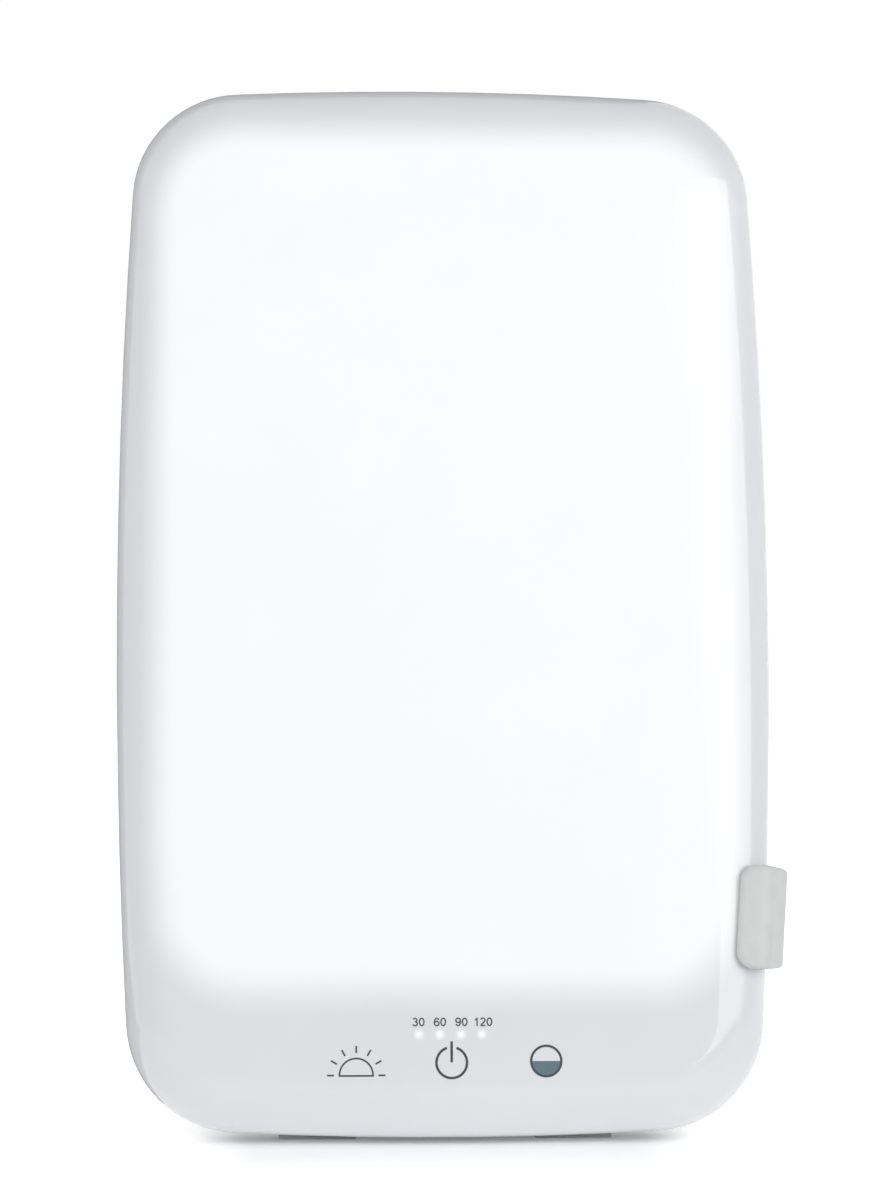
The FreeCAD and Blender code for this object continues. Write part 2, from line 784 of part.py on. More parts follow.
def led_packages():
    body = new_body("led_packages")
    sketch = new_sketch(body, "XZ_Plane", "spreader_front + board_thickness")
    left = "-(strip_count - 1) * strip_pitch / 2 - package_width / 2"
    low = "light_rise - (package_count - 1) * package_pitch / 2 - package_length / 2"
    add_rectangle(sketch, left, low, f"{left} + package_width", f"{low} + package_length")
    first = pad(body, sketch, "package_height")
    columns = ("H_Axis", "(strip_count - 1) * strip_pitch", "strip_count")
    rows = ("V_Axis", "(package_count - 1) * package_pitch", "package_count")
    grid(body, first, [columns, rows])
    finish(body, "led_packages")


# ---------------------------------------------------------------- screws


def cross_drive(body, places, face, head, depth, ahead):
    """A cross-shaped recess in each screw head, as two crossed slots."""
    for wide, tall in (("drive_reach", "drive_blade"), ("drive_blade", "drive_reach")):
        drive = new_sketch(body, "XZ_Plane", face)
        for x, z in places:
            across, up = f"({head}) * {wide}", f"({head}) * {tall}"
            add_rectangle(drive, f"{x} - {across}", f"{z} - {up}", f"{x} + {across}", f"{z} + {up}")
        pocket(body, drive, depth, ahead)


def screws(label, places, face, shank, head, height, length, forward=True):
    """Pan-head screws with a cross-shaped drive, driven forward from behind, or backward from in front."""
    body = new_body(label)
    sketch = new_sketch(body, "XZ_Plane", face)
    add_circles(sketch, places, f"({head}) / 2")
    pad(body, sketch, height, back=forward)
    away = f"({face}) - ({height})" if forward else f"({face}) + ({height})"
    cross_drive(body, places, away, head, f"({height}) * drive_depth", forward)
    sketch = new_sketch(body, "XZ_Plane", face)
    add_circles(sketch, places, f"({shank}) / 2")
    pad(body, sketch, length, back=not forward)
    finish(body, label)


def all_screws():
    """The screws of the housing, the light box and the two boards."""
    small = ("board_screw_shank", "board_screw_head", "board_head_height")
    large = ("screw_shank", "screw_head", "head_height")
    length = "board_screw_length"
    screws("housing_screws", housing_screw_places(), "-screw_reach", *large, "2 * screw_reach")
    screws("tray_screws", tray_screw_places(), "spreader_front + tray_wall", *large, "screw_reach", False)
    screws("control_screws", control_screw_places(), "board_face - board_thickness", *small, length)
    screws("driver_screws", driver_screw_places(), "board_thickness - driver_back", *small, length, False)


# ---------------------------------------------------------------- controls


def board(label, back, left, low, right, top, places):
    """A circuit board with rounded corners and its fixing holes."""
    body = new_body(label)
    sketch = new_sketch(body, "XZ_Plane", back)
    add_rectangle(sketch, left, low, right, top)
    pad(body, sketch, "board_thickness")
    fillet(body, edges_of(body, lambda box, edge: along(box, "y")), "board_corner")
    holes = new_sketch(body, "XZ_Plane", f"({back}) - overcut")
    add_circles(holes, places, "board_screw_shank / 2 + screw_play")
    pocket(body, holes)
    finish(body, label)


def control_board():
    half, rise = "control_width / 2", "control_height / 2"
    low, top = f"-control_drop - {rise}", f"-control_drop + {rise}"
    back = "board_face - board_thickness"
    board("control_board", back, f"-{half}", low, half, top, control_screw_places())


def touch_pads():
    """Soft conductive pads between the control board and the inside of the cover, under the symbols."""
    body = new_body("touch_pads")
    sketch = new_sketch(body, "XZ_Plane", "board_face")
    add_circles(sketch, [(f"{n} * touch_pitch", "-touch_drop") for n in (-1, 0, 1)], "touch_pad / 2")
    pad(body, sketch, "control_gap - pad_gap")
    finish(body, "touch_pads")


INDICATORS = [(f"{n} * indicator_pitch", "-indicator_drop") for n in (-1.5, -0.5, 0.5, 1.5)]


def indicator_leds():
    body = new_body("indicator_leds")
    sketch = new_sketch(body, "XZ_Plane", "board_face")
    for x, z in INDICATORS:
        across, up = "indicator_length / 2", "indicator_width / 2"
        add_rectangle(sketch, f"{x} - {across}", f"{z} - {up}", f"{x} + {across}", f"{z} + {up}")
    pad(body, sketch, "package_height")
    finish(body, "indicator_leds")


def indicator_shade():
    """A block with one light tunnel for each indicator, so that one never lights its neighbour's number."""
    body = new_body("indicator_shade")
    sketch = new_sketch(body, "XZ_Plane", "board_face")
    half = "1.5 * indicator_pitch + indicator_bore / 2 + shade_wall"
    rise = "indicator_bore / 2 + shade_wall"
    add_rectangle(sketch, f"-({half})", f"-indicator_drop - ({rise})", half, f"-indicator_drop + ({rise})")
    pad(body, sketch, "control_gap - pad_gap")
    fillet(body, edges_of(body, lambda box, edge: along(box, "y")), "shade_wall")
    tunnels = new_sketch(body, "XZ_Plane", "board_face - overcut")
    add_circles(tunnels, INDICATORS, "indicator_bore / 2")
    pocket(body, tunnels)
    finish(body, "indicator_shade")


# ---------------------------------------------------------------- driver electronics


def driver_board():
    half, rise = "driver_width / 2", "driver_height / 2"
    low, top = f"-driver_drop - {rise}", f"-driver_drop + {rise}"
    left, right = f"-driver_offset - {half}", f"-driver_offset + {half}"
    board("driver_board", "-driver_back", left, low, right, top, driver_screw_places())


def driver_parts():
    """What stands on the driver board, facing forward: an inductor and three capacitors."""
    face = "board_thickness - driver_back"
    inductor = new_body("driver_inductor")
    place = [("-driver_offset - driver_width / 2 + inductor_inset", "-driver_drop")]
    sketch = new_sketch(inductor, "XZ_Plane", face)
    add_circles(sketch, place, "inductor_radius")
    pad(inductor, sketch, "capacitor_height - inductor_drop")
    groove = new_sketch(inductor, "XZ_Plane", f"{face} + inductor_flange")
    add_circles(groove, place, "inductor_radius + overcut")
    add_circles(groove, place, "inductor_radius - inductor_waist")
    pocket(inductor, groove, "capacitor_height - inductor_drop - 2 * inductor_flange", ahead=False)
    finish(inductor, "driver_inductor")
    capacitors = new_body("driver_capacitors")
    sketch = new_sketch(capacitors, "XZ_Plane", face)
    side = "-driver_offset + driver_width / 2 - capacitor_inset"
    rises = [f"-driver_drop + {n} * (2 * capacitor_radius + capacitor_gap)" for n in (-1, 0, 1)]
    add_circles(sketch, [(side, rise) for rise in rises], "capacitor_radius")
    pad(capacitors, sketch, "capacitor_height")
    top = capacitors.Shape.BoundBox.YMin
    rims = edges_of(capacitors, lambda box, edge: near(box.YMax, top))
    fillet(capacitors, rims, "capacitor_crimp", "Chamfer")
    finish(capacitors, "driver_capacitors")


# Middles of the connectors on the driver board: power in, light out above, controls out below.
CONNECTOR_LEFT = "-driver_offset - driver_width / 2 + connector_inset"
CONNECTOR_RIGHT = "-driver_offset + driver_width / 2 - connector_inset"
CONNECTOR_LOW = "-driver_drop - driver_height / 2 + connector_margin"
CONNECTOR_HIGH = "-driver_drop + driver_height / 2 - connector_margin"


def add_connector(body, face, x, z, back=False):
    """A low block for a plug, its middle at this place of a board's face."""
    across, up = "connector_length / 2", "connector_width / 2"
    sketch = new_sketch(body, "XZ_Plane", face)
    add_rectangle(sketch, f"{x} - {across}", f"{z} - {up}", f"{x} + {across}", f"{z} + {up}")
    pad(body, sketch, "connector_height", back=back)


def connectors():
    """Low white connectors: three on the driver board and one on the back of the control board."""
    body = new_body("board_connectors")
    face = "board_thickness - driver_back"
    add_connector(body, face, CONNECTOR_LEFT, CONNECTOR_LOW)
    add_connector(body, face, CONNECTOR_RIGHT, CONNECTOR_LOW)
    add_connector(body, face, CONNECTOR_RIGHT, CONNECTOR_HIGH)
    face = "board_face - board_thickness"
    add_connector(body, face, "control_connector_side", "-control_drop", back=True)
    finish(body, "board_connectors")


def ribbon(path, width, thickness):
    """A flat lead along straight runs joined by tangent arcs."""
    edges = []
    start = path[0]
    for before, corner, after in zip(path, path[1:], path[2:]):
        into, out = (corner - before).normalize(), (after - corner).normalize()
        turn = into.getAngle(out)
        run = 0.45 * min(before.distanceToPoint(corner), corner.distanceToPoint(after))
        first, last = corner - into * run, corner + out * run
        bend = run / math.tan(turn / 2)
        towards = (out - into).normalize()
        middle = corner + towards * (bend / math.cos(turn / 2) - bend)
        edges.append(Part.LineSegment(start, first).toShape())
        edges.append(Part.Arc(first, middle, last).toShape())
        start = last
    edges.append(Part.LineSegment(start, path[-1]).toShape())
    ahead = (path[1] - path[0]).normalize()
    across = Vector(1, 0, 0)
    up = ahead.cross(across).normalize()
    corners = [(-1, -1), (1, -1), (1, 1), (-1, 1), (-1, -1)]
    ring = [path[0] + across * (x * width / 2) + up * (y * thickness / 2) for x, y in corners]
    return Part.Wire(edges).makePipeShell([Part.makePolygon(ring)], True, False)


def lead(label, path):
    harness = doc.addObject("Part::Feature", label)
    harness.Shape = ribbon(path, size("lead_width"), size("lead_thickness"))
    finish(harness, label)


def wiring():
    """Power in to the driver, then out to the LED boards and down to the controls."""
    half = size("driver_height") / 2 - size("connector_margin")
    low, high = -size("driver_drop") - half, -size("driver_drop") + half
    middle = size("driver_width") / 2 - size("connector_inset")
    left, right = -size("driver_offset") - middle, -size("driver_offset") + middle
    bend, run = size("lead_bend"), size("lead_run")
    gap = size("lead_gap") + size("lead_thickness") / 2
    plug = size("driver_back") - size("board_thickness") - size("connector_height") - gap
    level = size("spreader_setback") + size("parts_clearance")
    between = (plug + level) / 2
    side, drop = -size("inlet_side"), -size("inlet_drop")
    inlet = size("rear_depth") - size("housing_wall") - size("inlet_body") - gap
    lead("power_lead", [
        Vector(side, inlet, drop),
        Vector(side, (inlet + level) / 2, drop + bend / 4),
        Vector(side + bend, level, drop + run),
        Vector(left, level, drop + 3 * run),
        Vector(left + bend / 4, level, low - run),
        Vector(left, between, low - bend / 2),
        Vector(left, plug, low),
    ])
    control, control_z = size("control_connector_side"), -size("control_drop")
    back = -size("board_face") + size("board_thickness") + size("connector_height") + gap
    edge = size("light_rise") - size("light_height") / 2 - size("lead_spare")
    lead("control_lead", [
        Vector(right, plug, low),
        Vector(right, between, low - bend / 2),
        Vector(right - bend / 4, level, low - run),
        Vector(control, level, edge),
        Vector(control, back + bend, control_z + bend / 2),
        Vector(control, back, control_z),
    ])
    behind = size("spreader_setback") + gap
    lead("light_lead", [
        Vector(right, plug, high),
        Vector(right, between, high + bend / 2),
        Vector(right, level, high + run),
        Vector(right, (level + behind) / 2, high + 2 * run),
        Vector(right, behind, high + 2 * run + bend),
    ])


def dc_jack():
    """Panel socket: flanged body inside the wall, threaded barrel through it, bore with a centre pin."""
    place = [("-inlet_side", "-inlet_drop")]
    inside = "housing_wall - rear_depth"
    mouth = "-rear_depth - nut_height - inlet_stub"
    body = new_body("dc_jack")
    sketch = new_sketch(body, "XZ_Plane", inside)
    add_circles(sketch, place, "inlet_flange")
    pad(body, sketch, "flange_height")
    sketch = new_sketch(body, "XZ_Plane", f"{inside} + flange_height")
    add_circles(sketch, place, "inlet_sleeve")
    pad(body, sketch, "inlet_body - flange_height")
    sketch = new_sketch(body, "XZ_Plane", inside)
    add_circles(sketch, place, "inlet_barrel")
    pad(body, sketch, "housing_wall + nut_height + inlet_stub", back=True)
    bore = new_sketch(body, "XZ_Plane", mouth)
    add_circles(bore, place, "inlet_bore")
    pocket(body, bore, "inlet_depth")
    pin = new_sketch(body, "XZ_Plane", f"{mouth} + inlet_depth")
    add_circles(pin, place, "inlet_pin")
    pad(body, pin, "inlet_depth - pin_recess", back=True)
    finish(body, "dc_jack")
    nut = new_body("jack_nut")
    ring = new_sketch(nut, "XZ_Plane", "-rear_depth")
    add_circles(ring, place, "inlet_nut")
    pad(nut, ring, "nut_height", back=True)
    hole = new_sketch(nut, "XZ_Plane", "-rear_depth + overcut")
    add_circles(hole, place, "inlet_barrel + bore_play")
    pocket(nut, hole, ahead=False)
    rear = nut.Shape.BoundBox.YMax
    outer = size("inlet_nut")
    rims = edges_of(nut, lambda box, edge: near(box.YMin, rear) and box.XLength > outer)
    fillet(nut, rims, "nut_chamfer", "Chamfer")
    finish(nut, "jack_nut")


# ---------------------------------------------------------------- clasp, hinge and leg


def lamp_forms(label, grow):
    """Cover and housing as two solid forms, both grown by an amount."""
    return cover_form(label + "_front", grow, "0"), housing_form(label + "_back", grow, "0")


def clasp_side(label, inset):
    """The clasp's side view as a tool, set in at both ends: its underside rises and its top falls behind."""
    body = new_body(label)
    profile = new_sketch(body, "YZ_Plane")
    start, end = "-clasp_taper_start", "clasp_back"
    front, rear = f"(clasp_height / 2 - {inset})", f"(clasp_rear_height / 2 - {inset})"
    add_polygon(profile, [
        ("-clasp_face - overcut", f"-{front}"),
        (end, f"-{rear}"),
        (end, rear),
        (start, front),
        ("-clasp_face - overcut", front),
    ])
    pad(body, profile, "2 * (clasp_rear_jaw + clasp_proud)", both=True)
    crease = size("clasp_taper_start")
    bends = edges_of(body, lambda box, edge: along(box, "x") and near(box.YMin, -crease))
    fillet(body, bends, "clasp_taper_radius")
    return body


def round_jaws(body, inset):
    """Rounds the four corners at the tips of the two jaws, which are set in by an amount."""
    jaw, rear = size("clasp_jaw") - size(inset), size("clasp_rear_jaw") - size(inset)
    face, back = size("clasp_face"), size("clasp_back")

    def jaw_corner(box, edge):
        beside = near(box.XMin, -jaw) and near(box.YMin, -face)
        behind = near(box.XMin, -rear) and near(box.YMax, back)
        return not along(box, "z") and near(box.XLength, 0) and (beside or behind)

    fillet(body, edges_of(body, jaw_corner), f"clasp_corner - {inset}")


def clasp_block():
    """The clasp before it is hollowed to fit the lamp's edge, with the two outer hinge knuckles."""
    body = new_body("clasp_block")
    profile = new_sketch(body, "XY_Plane")
    add_polygon(profile, [
        ("-clasp_jaw", "-clasp_face"),
        ("-clasp_bend", "-clasp_face"),
        ("clasp_proud", "-clasp_shoulder"),
        ("clasp_proud", "rear_depth / 2"),
        ("-hinge_inset / 2", "clasp_back"),
        ("-clasp_rear_jaw", "clasp_back"),
        ("-clasp_rear_jaw", "0"),
        ("-clasp_jaw", "-front_depth / 3"),
    ])
    pad(body, profile, "clasp_height + 2 * overcut", both=True)
    jaw, rear, face = size("clasp_jaw"), size("clasp_rear_jaw"), size("clasp_face")

    def front_bend(box, edge):
        return along(box, "z") and box.YMin < 0 and not near(box.XMin, -jaw)

    def back_bend(box, edge):
        return along(box, "z") and box.YMin > 0 and not near(box.XMin, -rear)

    fillet(body, edges_of(body, front_bend), "clasp_bend_radius")
    fillet(body, edges_of(body, back_bend), "clasp_back_bend")
    cut_body(body, [clasp_side("clasp_side", "no_inset")], "Common")
    round_jaws(body, "no_inset")
    rims = edges_of(body, lambda box, edge: near(box.YMax, -face) and near(box.XMax, -jaw))
    fillet(body, rims, "clasp_rounding")
    outer = "hinge_height / 2"
    for sign in (1, -1):
        knuckle = new_sketch(body, "XY_Plane", f"{sign} * knuckle_start")
        add_circles(knuckle, [("-hinge_inset", "hinge_back")], "knuckle_radius")
        pad(body, knuckle, f"{outer} - knuckle_start", back=sign < 0)
        web = new_sketch(body, "XY_Plane", f"{sign} * knuckle_start")
        side = "knuckle_radius - web_draft"
        low = "clasp_back - clasp_rear_wall / 2"
        add_rectangle(web, f"-hinge_inset - {side}", low, f"-hinge_inset + {side}", "hinge_back")
        pad(body, web, f"{outer} - knuckle_start", back=sign < 0)
    bore = new_sketch(body, "XY_Plane", "-clasp_height")
    add_circles(bore, [("-hinge_inset", "hinge_back")], "pin_radius + bore_play")
    pocket(body, bore)
    return body


def countersunk(label, play, length):
    """The forms of the two flat-head screws that hold the clasp's rear jaw to the housing."""
    body = new_body(label)
    sketch = new_sketch(body, "XZ_Plane", "-clasp_back")
    add_circles(sketch, clasp_screw_places(), f"clasp_screw_shank / 2 + {play}")
    pad(body, sketch, length)
    head = new_sketch(body, "XZ_Plane", "-clasp_back")
    add_circles(head, clasp_screw_places(), f"clasp_screw_head / 2 + {play}")
    cone = pad(body, head, "(clasp_screw_head - clasp_screw_shank) / 2")
    cone.TaperAngle = -45
    doc.recompute()
    return body


def screw_ways(label):
    """Clearance for the clasp's screws through what they hold."""
    return countersunk(label, "screw_play", "clasp_screw_length")


def clasp_screws():
    body = countersunk("clasp_screws", "0", "clasp_screw_length")
    depth = "(clasp_screw_head - clasp_screw_shank) / 2 * drive_depth"
    cross_drive(body, clasp_screw_places(), "-clasp_back", "clasp_screw_head", depth, True)
    finish(body, "clasp_screws")


def clasp():
    """U-shaped clasp, hollowed to the lamp's own form plus the liner, and the liner inside it."""
    body = clasp_block()
    body.Placement = CLASP
    for tool in (*lamp_forms("clasp_inside", "clasp_inside"), screw_ways("clasp_ways")):
        body = combine("Cut", "clasp_stage", body, tool)
    finish(body, "clasp")
    room = new_body("liner_room")
    profile = new_sketch(room, "XY_Plane")
    jaw, rear_jaw = "-clasp_jaw + liner_margin", "-clasp_rear_jaw + liner_margin"
    add_polygon(profile, [
        (jaw, "-clasp_face"),
        ("clasp_proud", "-clasp_face"),
        ("clasp_proud", "clasp_back"),
        (rear_jaw, "clasp_back"),
        (rear_jaw, "0"),
        (jaw, "-front_depth / 3"),
    ])
    pad(room, profile, "clasp_height", both=True)
    cut_body(room, [clasp_side("liner_side", "liner_margin")], "Common")
    round_jaws(room, "liner_margin")
    room.Placement = CLASP
    outer = combine("Fuse", "liner_outside", *lamp_forms("liner_outer", "clasp_inside - bore_play"))
    liner = combine("Common", "liner_stage", room, outer)
    for tool in (*lamp_forms("liner_inner", "liner_gap"), screw_ways("liner_ways")):
        liner = combine("Cut", "liner_stage", liner, tool)
    finish(liner, "clasp_liner")
    clasp_screws()


def turned(label, rings):
    """A piece turned about the hinge's axis: each ring is its two ends, its radius and its bore or None."""
    body = new_body(label)
    for low, high, radius, bore in rings:
        sketch = new_sketch(body, "XY_Plane", low)
        add_circles(sketch, [("0", "0")], radius)
        if bore:
            add_circles(sketch, [("0", "0")], bore)
        pad(body, sketch, f"({high}) - ({low})")
    finish(body, label, LEG)


def hinge_parts():
    """Pin with a head below and a nut above, a bush in the leg and a friction washer at each end."""
    bore = "pin_radius + bore_play"
    below = "-hinge_height / 2 - hinge_play"
    above = "hinge_height / 2 + hinge_play"
    turned("hinge_pin", [
        (f"{below} - pin_head", below, "pin_radius + pin_head", None),
        (below, f"{above} + nut_length + pin_stub", "pin_radius", None),
    ])
    turned("hinge_bush", [("-knuckle_height / 2", "knuckle_height / 2", "pin_radius + bush_wall", bore)])
    low = "knuckle_height / 2 + hinge_play"
    high = f"{low} + washer_thickness"
    rim = "knuckle_radius - washer_inset"
    turned("friction_washers", [(low, high, rim, bore), (f"-({high})", f"-({low})", rim, bore)])
    nut = new_body("hinge_nut")
    sketch = new_sketch(nut, "XY_Plane", above)
    add_polygon(sketch, [(f"nut_radius * cos({60 * n})", f"nut_radius * sin({60 * n})") for n in range(6)])
    add_circles(sketch, [("0", "0")], bore)
    pad(nut, sketch, "nut_length")
    finish(nut, "hinge_nut", LEG)


LEG_ROOT = "(knuckle_radius + leg_clearance)"
LEG_FALL = "leg_sole / 2 * tan(ground_slope)"


def leg_points():
    """The blade's outline in the leg's frame, where the hinge is the origin and the tip lies towards -X."""
    half = "hinge_height / 2"
    sole = "(leg_drop - shoe_height)"
    return [
        (f"-{LEG_ROOT}", f"-{half}"),
        ("-leg_shoulder", f"-{half} - leg_shoulder_drop"),
        ("-(leg_length - leg_sole)", f"-{sole} - {LEG_FALL}"),
        ("-leg_length", f"-{sole} + {LEG_FALL}"),
        ("-leg_length", f"-{sole} + {LEG_FALL} + leg_tip_height"),
        ("-leg_shoulder - leg_neck", f"{half} - leg_neck_drop"),
        (f"-{LEG_ROOT} - leg_neck", half),
        (f"-{LEG_ROOT}", half),
    ]


def leg_arm():
    """Blade that sweeps down from the hinge to the table, with its knuckle."""
    body = new_body("leg_arm")
    sketch = new_sketch(body, "XZ_Plane")
    add_polygon(sketch, leg_points())
    pad(body, sketch, "leg_thickness", both=True)
    tip, root = size("leg_length"), size("knuckle_radius") + size("leg_clearance")
    heel, under = tip - size("leg_sole"), -size("hinge_height") / 2

    def end_corner(box, edge):
        return along(box, "y") and (near(box.XMin, -tip) or near(box.XMin, -root))

    def heel_corner(box, edge):
        return along(box, "y") and near(box.XMin, -heel) and box.ZMin < under

    def sweep_corner(box, edge):
        between = -heel < box.XMin < -root
        return along(box, "y") and between and not (heel_corner(box, edge) or end_corner(box, edge))

    fillet(body, edges_of(body, end_corner), "leg_tip_corner")
    fillet(body, edges_of(body, sweep_corner), "leg_sweep")
    fillet(body, edges_of(body, heel_corner), "leg_heel")
    fillet(body, edges_of(body, lambda box, edge: near(box.YLength, 0)), "leg_edge")
    knuckle = new_sketch(body, "XY_Plane")
    add_circles(knuckle, [("0", "0")], "knuckle_radius")
    pad(body, knuckle, "knuckle_height", both=True)
    tongue = new_sketch(body, "XY_Plane")
    thick = "leg_thickness / 2"
    add_rectangle(tongue, f"-{LEG_ROOT} - leg_clearance", f"-{thick}", "0", thick)
    pad(body, tongue, "knuckle_height", both=True)
    bore = new_sketch(body, "XY_Plane", "-clasp_height")
    add_circles(bore, [("0", "0")], "pin_radius + bush_wall + bore_play")
    pocket(body, bore)
    finish(body, "leg_arm", LEG)


def leg_shoe():
    """Rubber shoe under the leg's tip, trimmed flat by the table."""
    shoe = new_body("shoe_block")
    sketch = new_sketch(shoe, "XZ_Plane")
    fall = f"{LEG_FALL} - shoe_reach * tan(ground_slope)"
    near_end, far_end = "-(leg_length - leg_sole) - shoe_reach", "-leg_length + shoe_reach"
    top, low = "shoe_height - leg_drop", "-leg_drop - shoe_height"
    add_polygon(sketch, [
        (near_end, f"{low} - ({fall})"),
        (near_end, f"{top} - ({fall})"),
        (far_end, f"{top} + {fall}"),
        (far_end, f"{low} + {fall}"),
    ])
    pad(shoe, sketch, "leg_thickness + 2 * shoe_wall", both=True)
    fillet(shoe, edges_of(shoe, lambda box, edge: along(box, "z")), "shoe_corner")
    shoe.Placement = LEG
    finish(combine("Cut", "leg_shoe", shoe, table("shoe")), "leg_shoe", Placement())


def feet():
    """Two soft feet in the housing's seats, trimmed flat by the table."""
    for label, sign in (("foot_left", "-"), ("foot_right", "")):
        foot = new_body(label + "_block")
        sketch = new_sketch(foot, "XZ_Plane", "-(foot_setback + foot_width / 2)")
        side = f"{sign}foot_spread / 2"
        left, right = f"{side} - foot_length / 2", f"{side} + foot_length / 2"
        add_rectangle(sketch, left, "-lamp_height / 2 - foot_width", right, FOOT_CEILING)
        pad(foot, sketch, "foot_width")
        fillet(foot, edges_of(foot, lambda box, edge: along(box, "z")), "foot_corner")
        foot.Placement = LEAN
        finish(combine("Cut", label, foot, table(label)), label, Placement())


def table(label):
    """Everything below the table's surface, as a tool."""
    reach = "lamp_height"
    return block(label + "_table", (f"-{reach}", f"-{reach}", f"-{reach}"), (reach, reach, "0"))


# ---------------------------------------------------------------- the whole lamp


def check():
    faults = [item.Name for item in doc.Objects if {"Invalid", "Error"} & set(item.State)]
    faults += [item.Label for item in finished if item.Shape.isNull() or not item.Shape.isValid()]
    if faults:
        raise RuntimeError("failed: " + ", ".join(faults))


def stand_on_origin():
    """Moves the whole lamp so that the origin lies midway between its front and the tip of its leg."""
    boxes = [piece.Shape.optimalBoundingBox(False, False) for piece in finished]
    middle = (min(box.YMin for box in boxes) + max(box.YMax for box in boxes)) / 2
    for piece in finished:
        piece.Placement = Placement(Vector(0, -middle, 0), Rotation()).multiply(piece.Placement)
    return middle


front_cover()
rear_housing()
reflector_tray()
diffuser_sheet()
heat_spreader()
led_strips()
led_packages()
all_screws()
control_board()
touch_pads()
indicator_leds()
indicator_shade()
driver_board()
driver_parts()
connectors()
wiring()
dc_jack()
clasp()
hinge_parts()
leg_arm()
leg_shoe()
feet()
doc.recompute()
middle = stand_on_origin()
doc.recompute()
check()
os.makedirs("parts", exist_ok=True)
for piece in finished:
    piece.Shape.exportStep(f"parts/{piece.Label}.step")
    print(piece.Label, len(piece.Shape.Solids), round(piece.Shape.Volume))
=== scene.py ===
import math

import bmesh
import bpy
from mathutils import Matrix, Vector


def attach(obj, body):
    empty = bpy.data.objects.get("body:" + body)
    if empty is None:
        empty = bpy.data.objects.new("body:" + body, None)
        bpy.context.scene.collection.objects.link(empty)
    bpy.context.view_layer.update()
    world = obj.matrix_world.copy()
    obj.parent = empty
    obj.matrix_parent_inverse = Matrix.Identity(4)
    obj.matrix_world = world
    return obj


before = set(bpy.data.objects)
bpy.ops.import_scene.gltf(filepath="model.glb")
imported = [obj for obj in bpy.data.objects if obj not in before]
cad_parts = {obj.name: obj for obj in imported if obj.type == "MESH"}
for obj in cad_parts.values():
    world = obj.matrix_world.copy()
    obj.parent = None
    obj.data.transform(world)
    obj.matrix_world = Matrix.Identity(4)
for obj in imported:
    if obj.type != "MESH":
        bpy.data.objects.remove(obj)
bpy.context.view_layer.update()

# Sizes are millimetres and angles are degrees unless said otherwise, and MM turns millimetres into the
# scene's metres. The lamp frame is the lamp standing upright: X to the viewer's right, Z up the panel and Y
# from front to back, with its origin in the middle of the outline, on the joint of cover and housing.
MM = 0.001
LEAN = 12

# photo: its frame in pixels, where in it the lamp frame's origin shows, and the pixels per millimetre there
PHOTO_WIDTH, PHOTO_HEIGHT = 869, 1200
LAMP_PIXEL = (443.04, 605.7)
PIXELS_PER_MM = 2.0931

# camera: its distance, its angles round the lamp, above it and about its own axis, and its sensor's width
CAMERA_DISTANCE = 1650
CAMERA_AZIMUTH = -3.557
CAMERA_ELEVATION = 3.027
CAMERA_ROLL = 0.4215
SENSOR = 36

# studio light: each softbox has its centre and its aim, its width and height, all in metres, and its
# radiance, where 1 is what shows as plain white. Only the key's mirror image is wanted in the gloss.
KEY = "softbox_right"
SOFTBOXES = {
    KEY: ((0.965, -1.0, 0.72), (0.14, -0.05, 0.72), 1.63, 1.04, 2.0),
    "softbox_left": ((-1.3, -1.0, 0.75), (0, 0, 0.35), 1.9, 1.4, 1.4),
    "softbox_top": ((0, -0.5, 1.9), (0, 0, 0.25), 1.6, 1.2, 0.45),
    "softbox_side": ((1.5, 0.35, 0.5), (0, 0, 0.25), 1.4, 1.2, 0.3),
    "softbox_back": ((0.2, 1.8, 1.0), (0, 0, 0.2), 2.0, 1.4, 1.3),
    "softbox_table": ((0, -0.125, 0.003), (0, -0.125, 1), 0.34, 0.07, 0.24),
}
AMBIENT, AMBIENT_COLOUR = 0.3, (0.97, 0.985, 1, 1)
PLAIN_WHITE = (1, 1, 1, 1)

# Grey card, seen only in the gloss, in metres. It has an upright part at CARD_BACK and a part on the floor,
# which comes forward from there to CARD_FRONT. Both start at CARD_LEFT.
CARD_LEFT, CARD_RIGHT, CARD_FLOOR_RIGHT = -0.875, 0.195, -0.14
CARD_FRONT, CARD_BACK, CARD_HEIGHT = -0.06, 0.42, 1.2
CARD_LIFT = 0.002
CARD_GREY = 0.3

# Floor, in metres: half its side, and the painted light that it adds where it is seen, by the distance from
# the line between the lamp's two feet, which counts more to the left and right of that line. The painted
# light is weakest at the feet, so the lamp's shadow stays dark only there and is washed out further off.
FLOOR_HALF = 30
FLOOR_ALBEDO = 0.92
FLOOR_PAINTED_LIGHT = ((0.0, 0.15), (0.03, 0.17), (0.045, 0.24), (0.1, 0.45), (0.25, 0.62), (2.2, 0.76))
FEET_ROW, FEET_HALF, BESIDE_FEET = -0.08, 0.085, 3

# Lit window, in the lamp frame: its outline, where the glow has just faded out, and how far inside that it
# has its full strength. The bottom's wider fade turns into the other one between the two heights of
# FADE_TURN over the bottom. On the cover's rolled edge the glow fades out between two shares of the depth.
GLOW_SIDE, GLOW_TOP, GLOW_BOTTOM = 145.3, 233.4, 197.2
GLOW_CORNER = 50
GLOW_FADE, GLOW_FADE_BOTTOM = 19, 26
FADE_TURN = (30, 80)
GLOW_DEPTHS = (0.6, 0.3)
GLOW_STRENGTH, GLOW_COLOUR = 0.225, (1, 0.95, 0.89, 1)

# what noise mostly lies between
NOISE_LOW, NOISE_HIGH = 0.3, 0.7

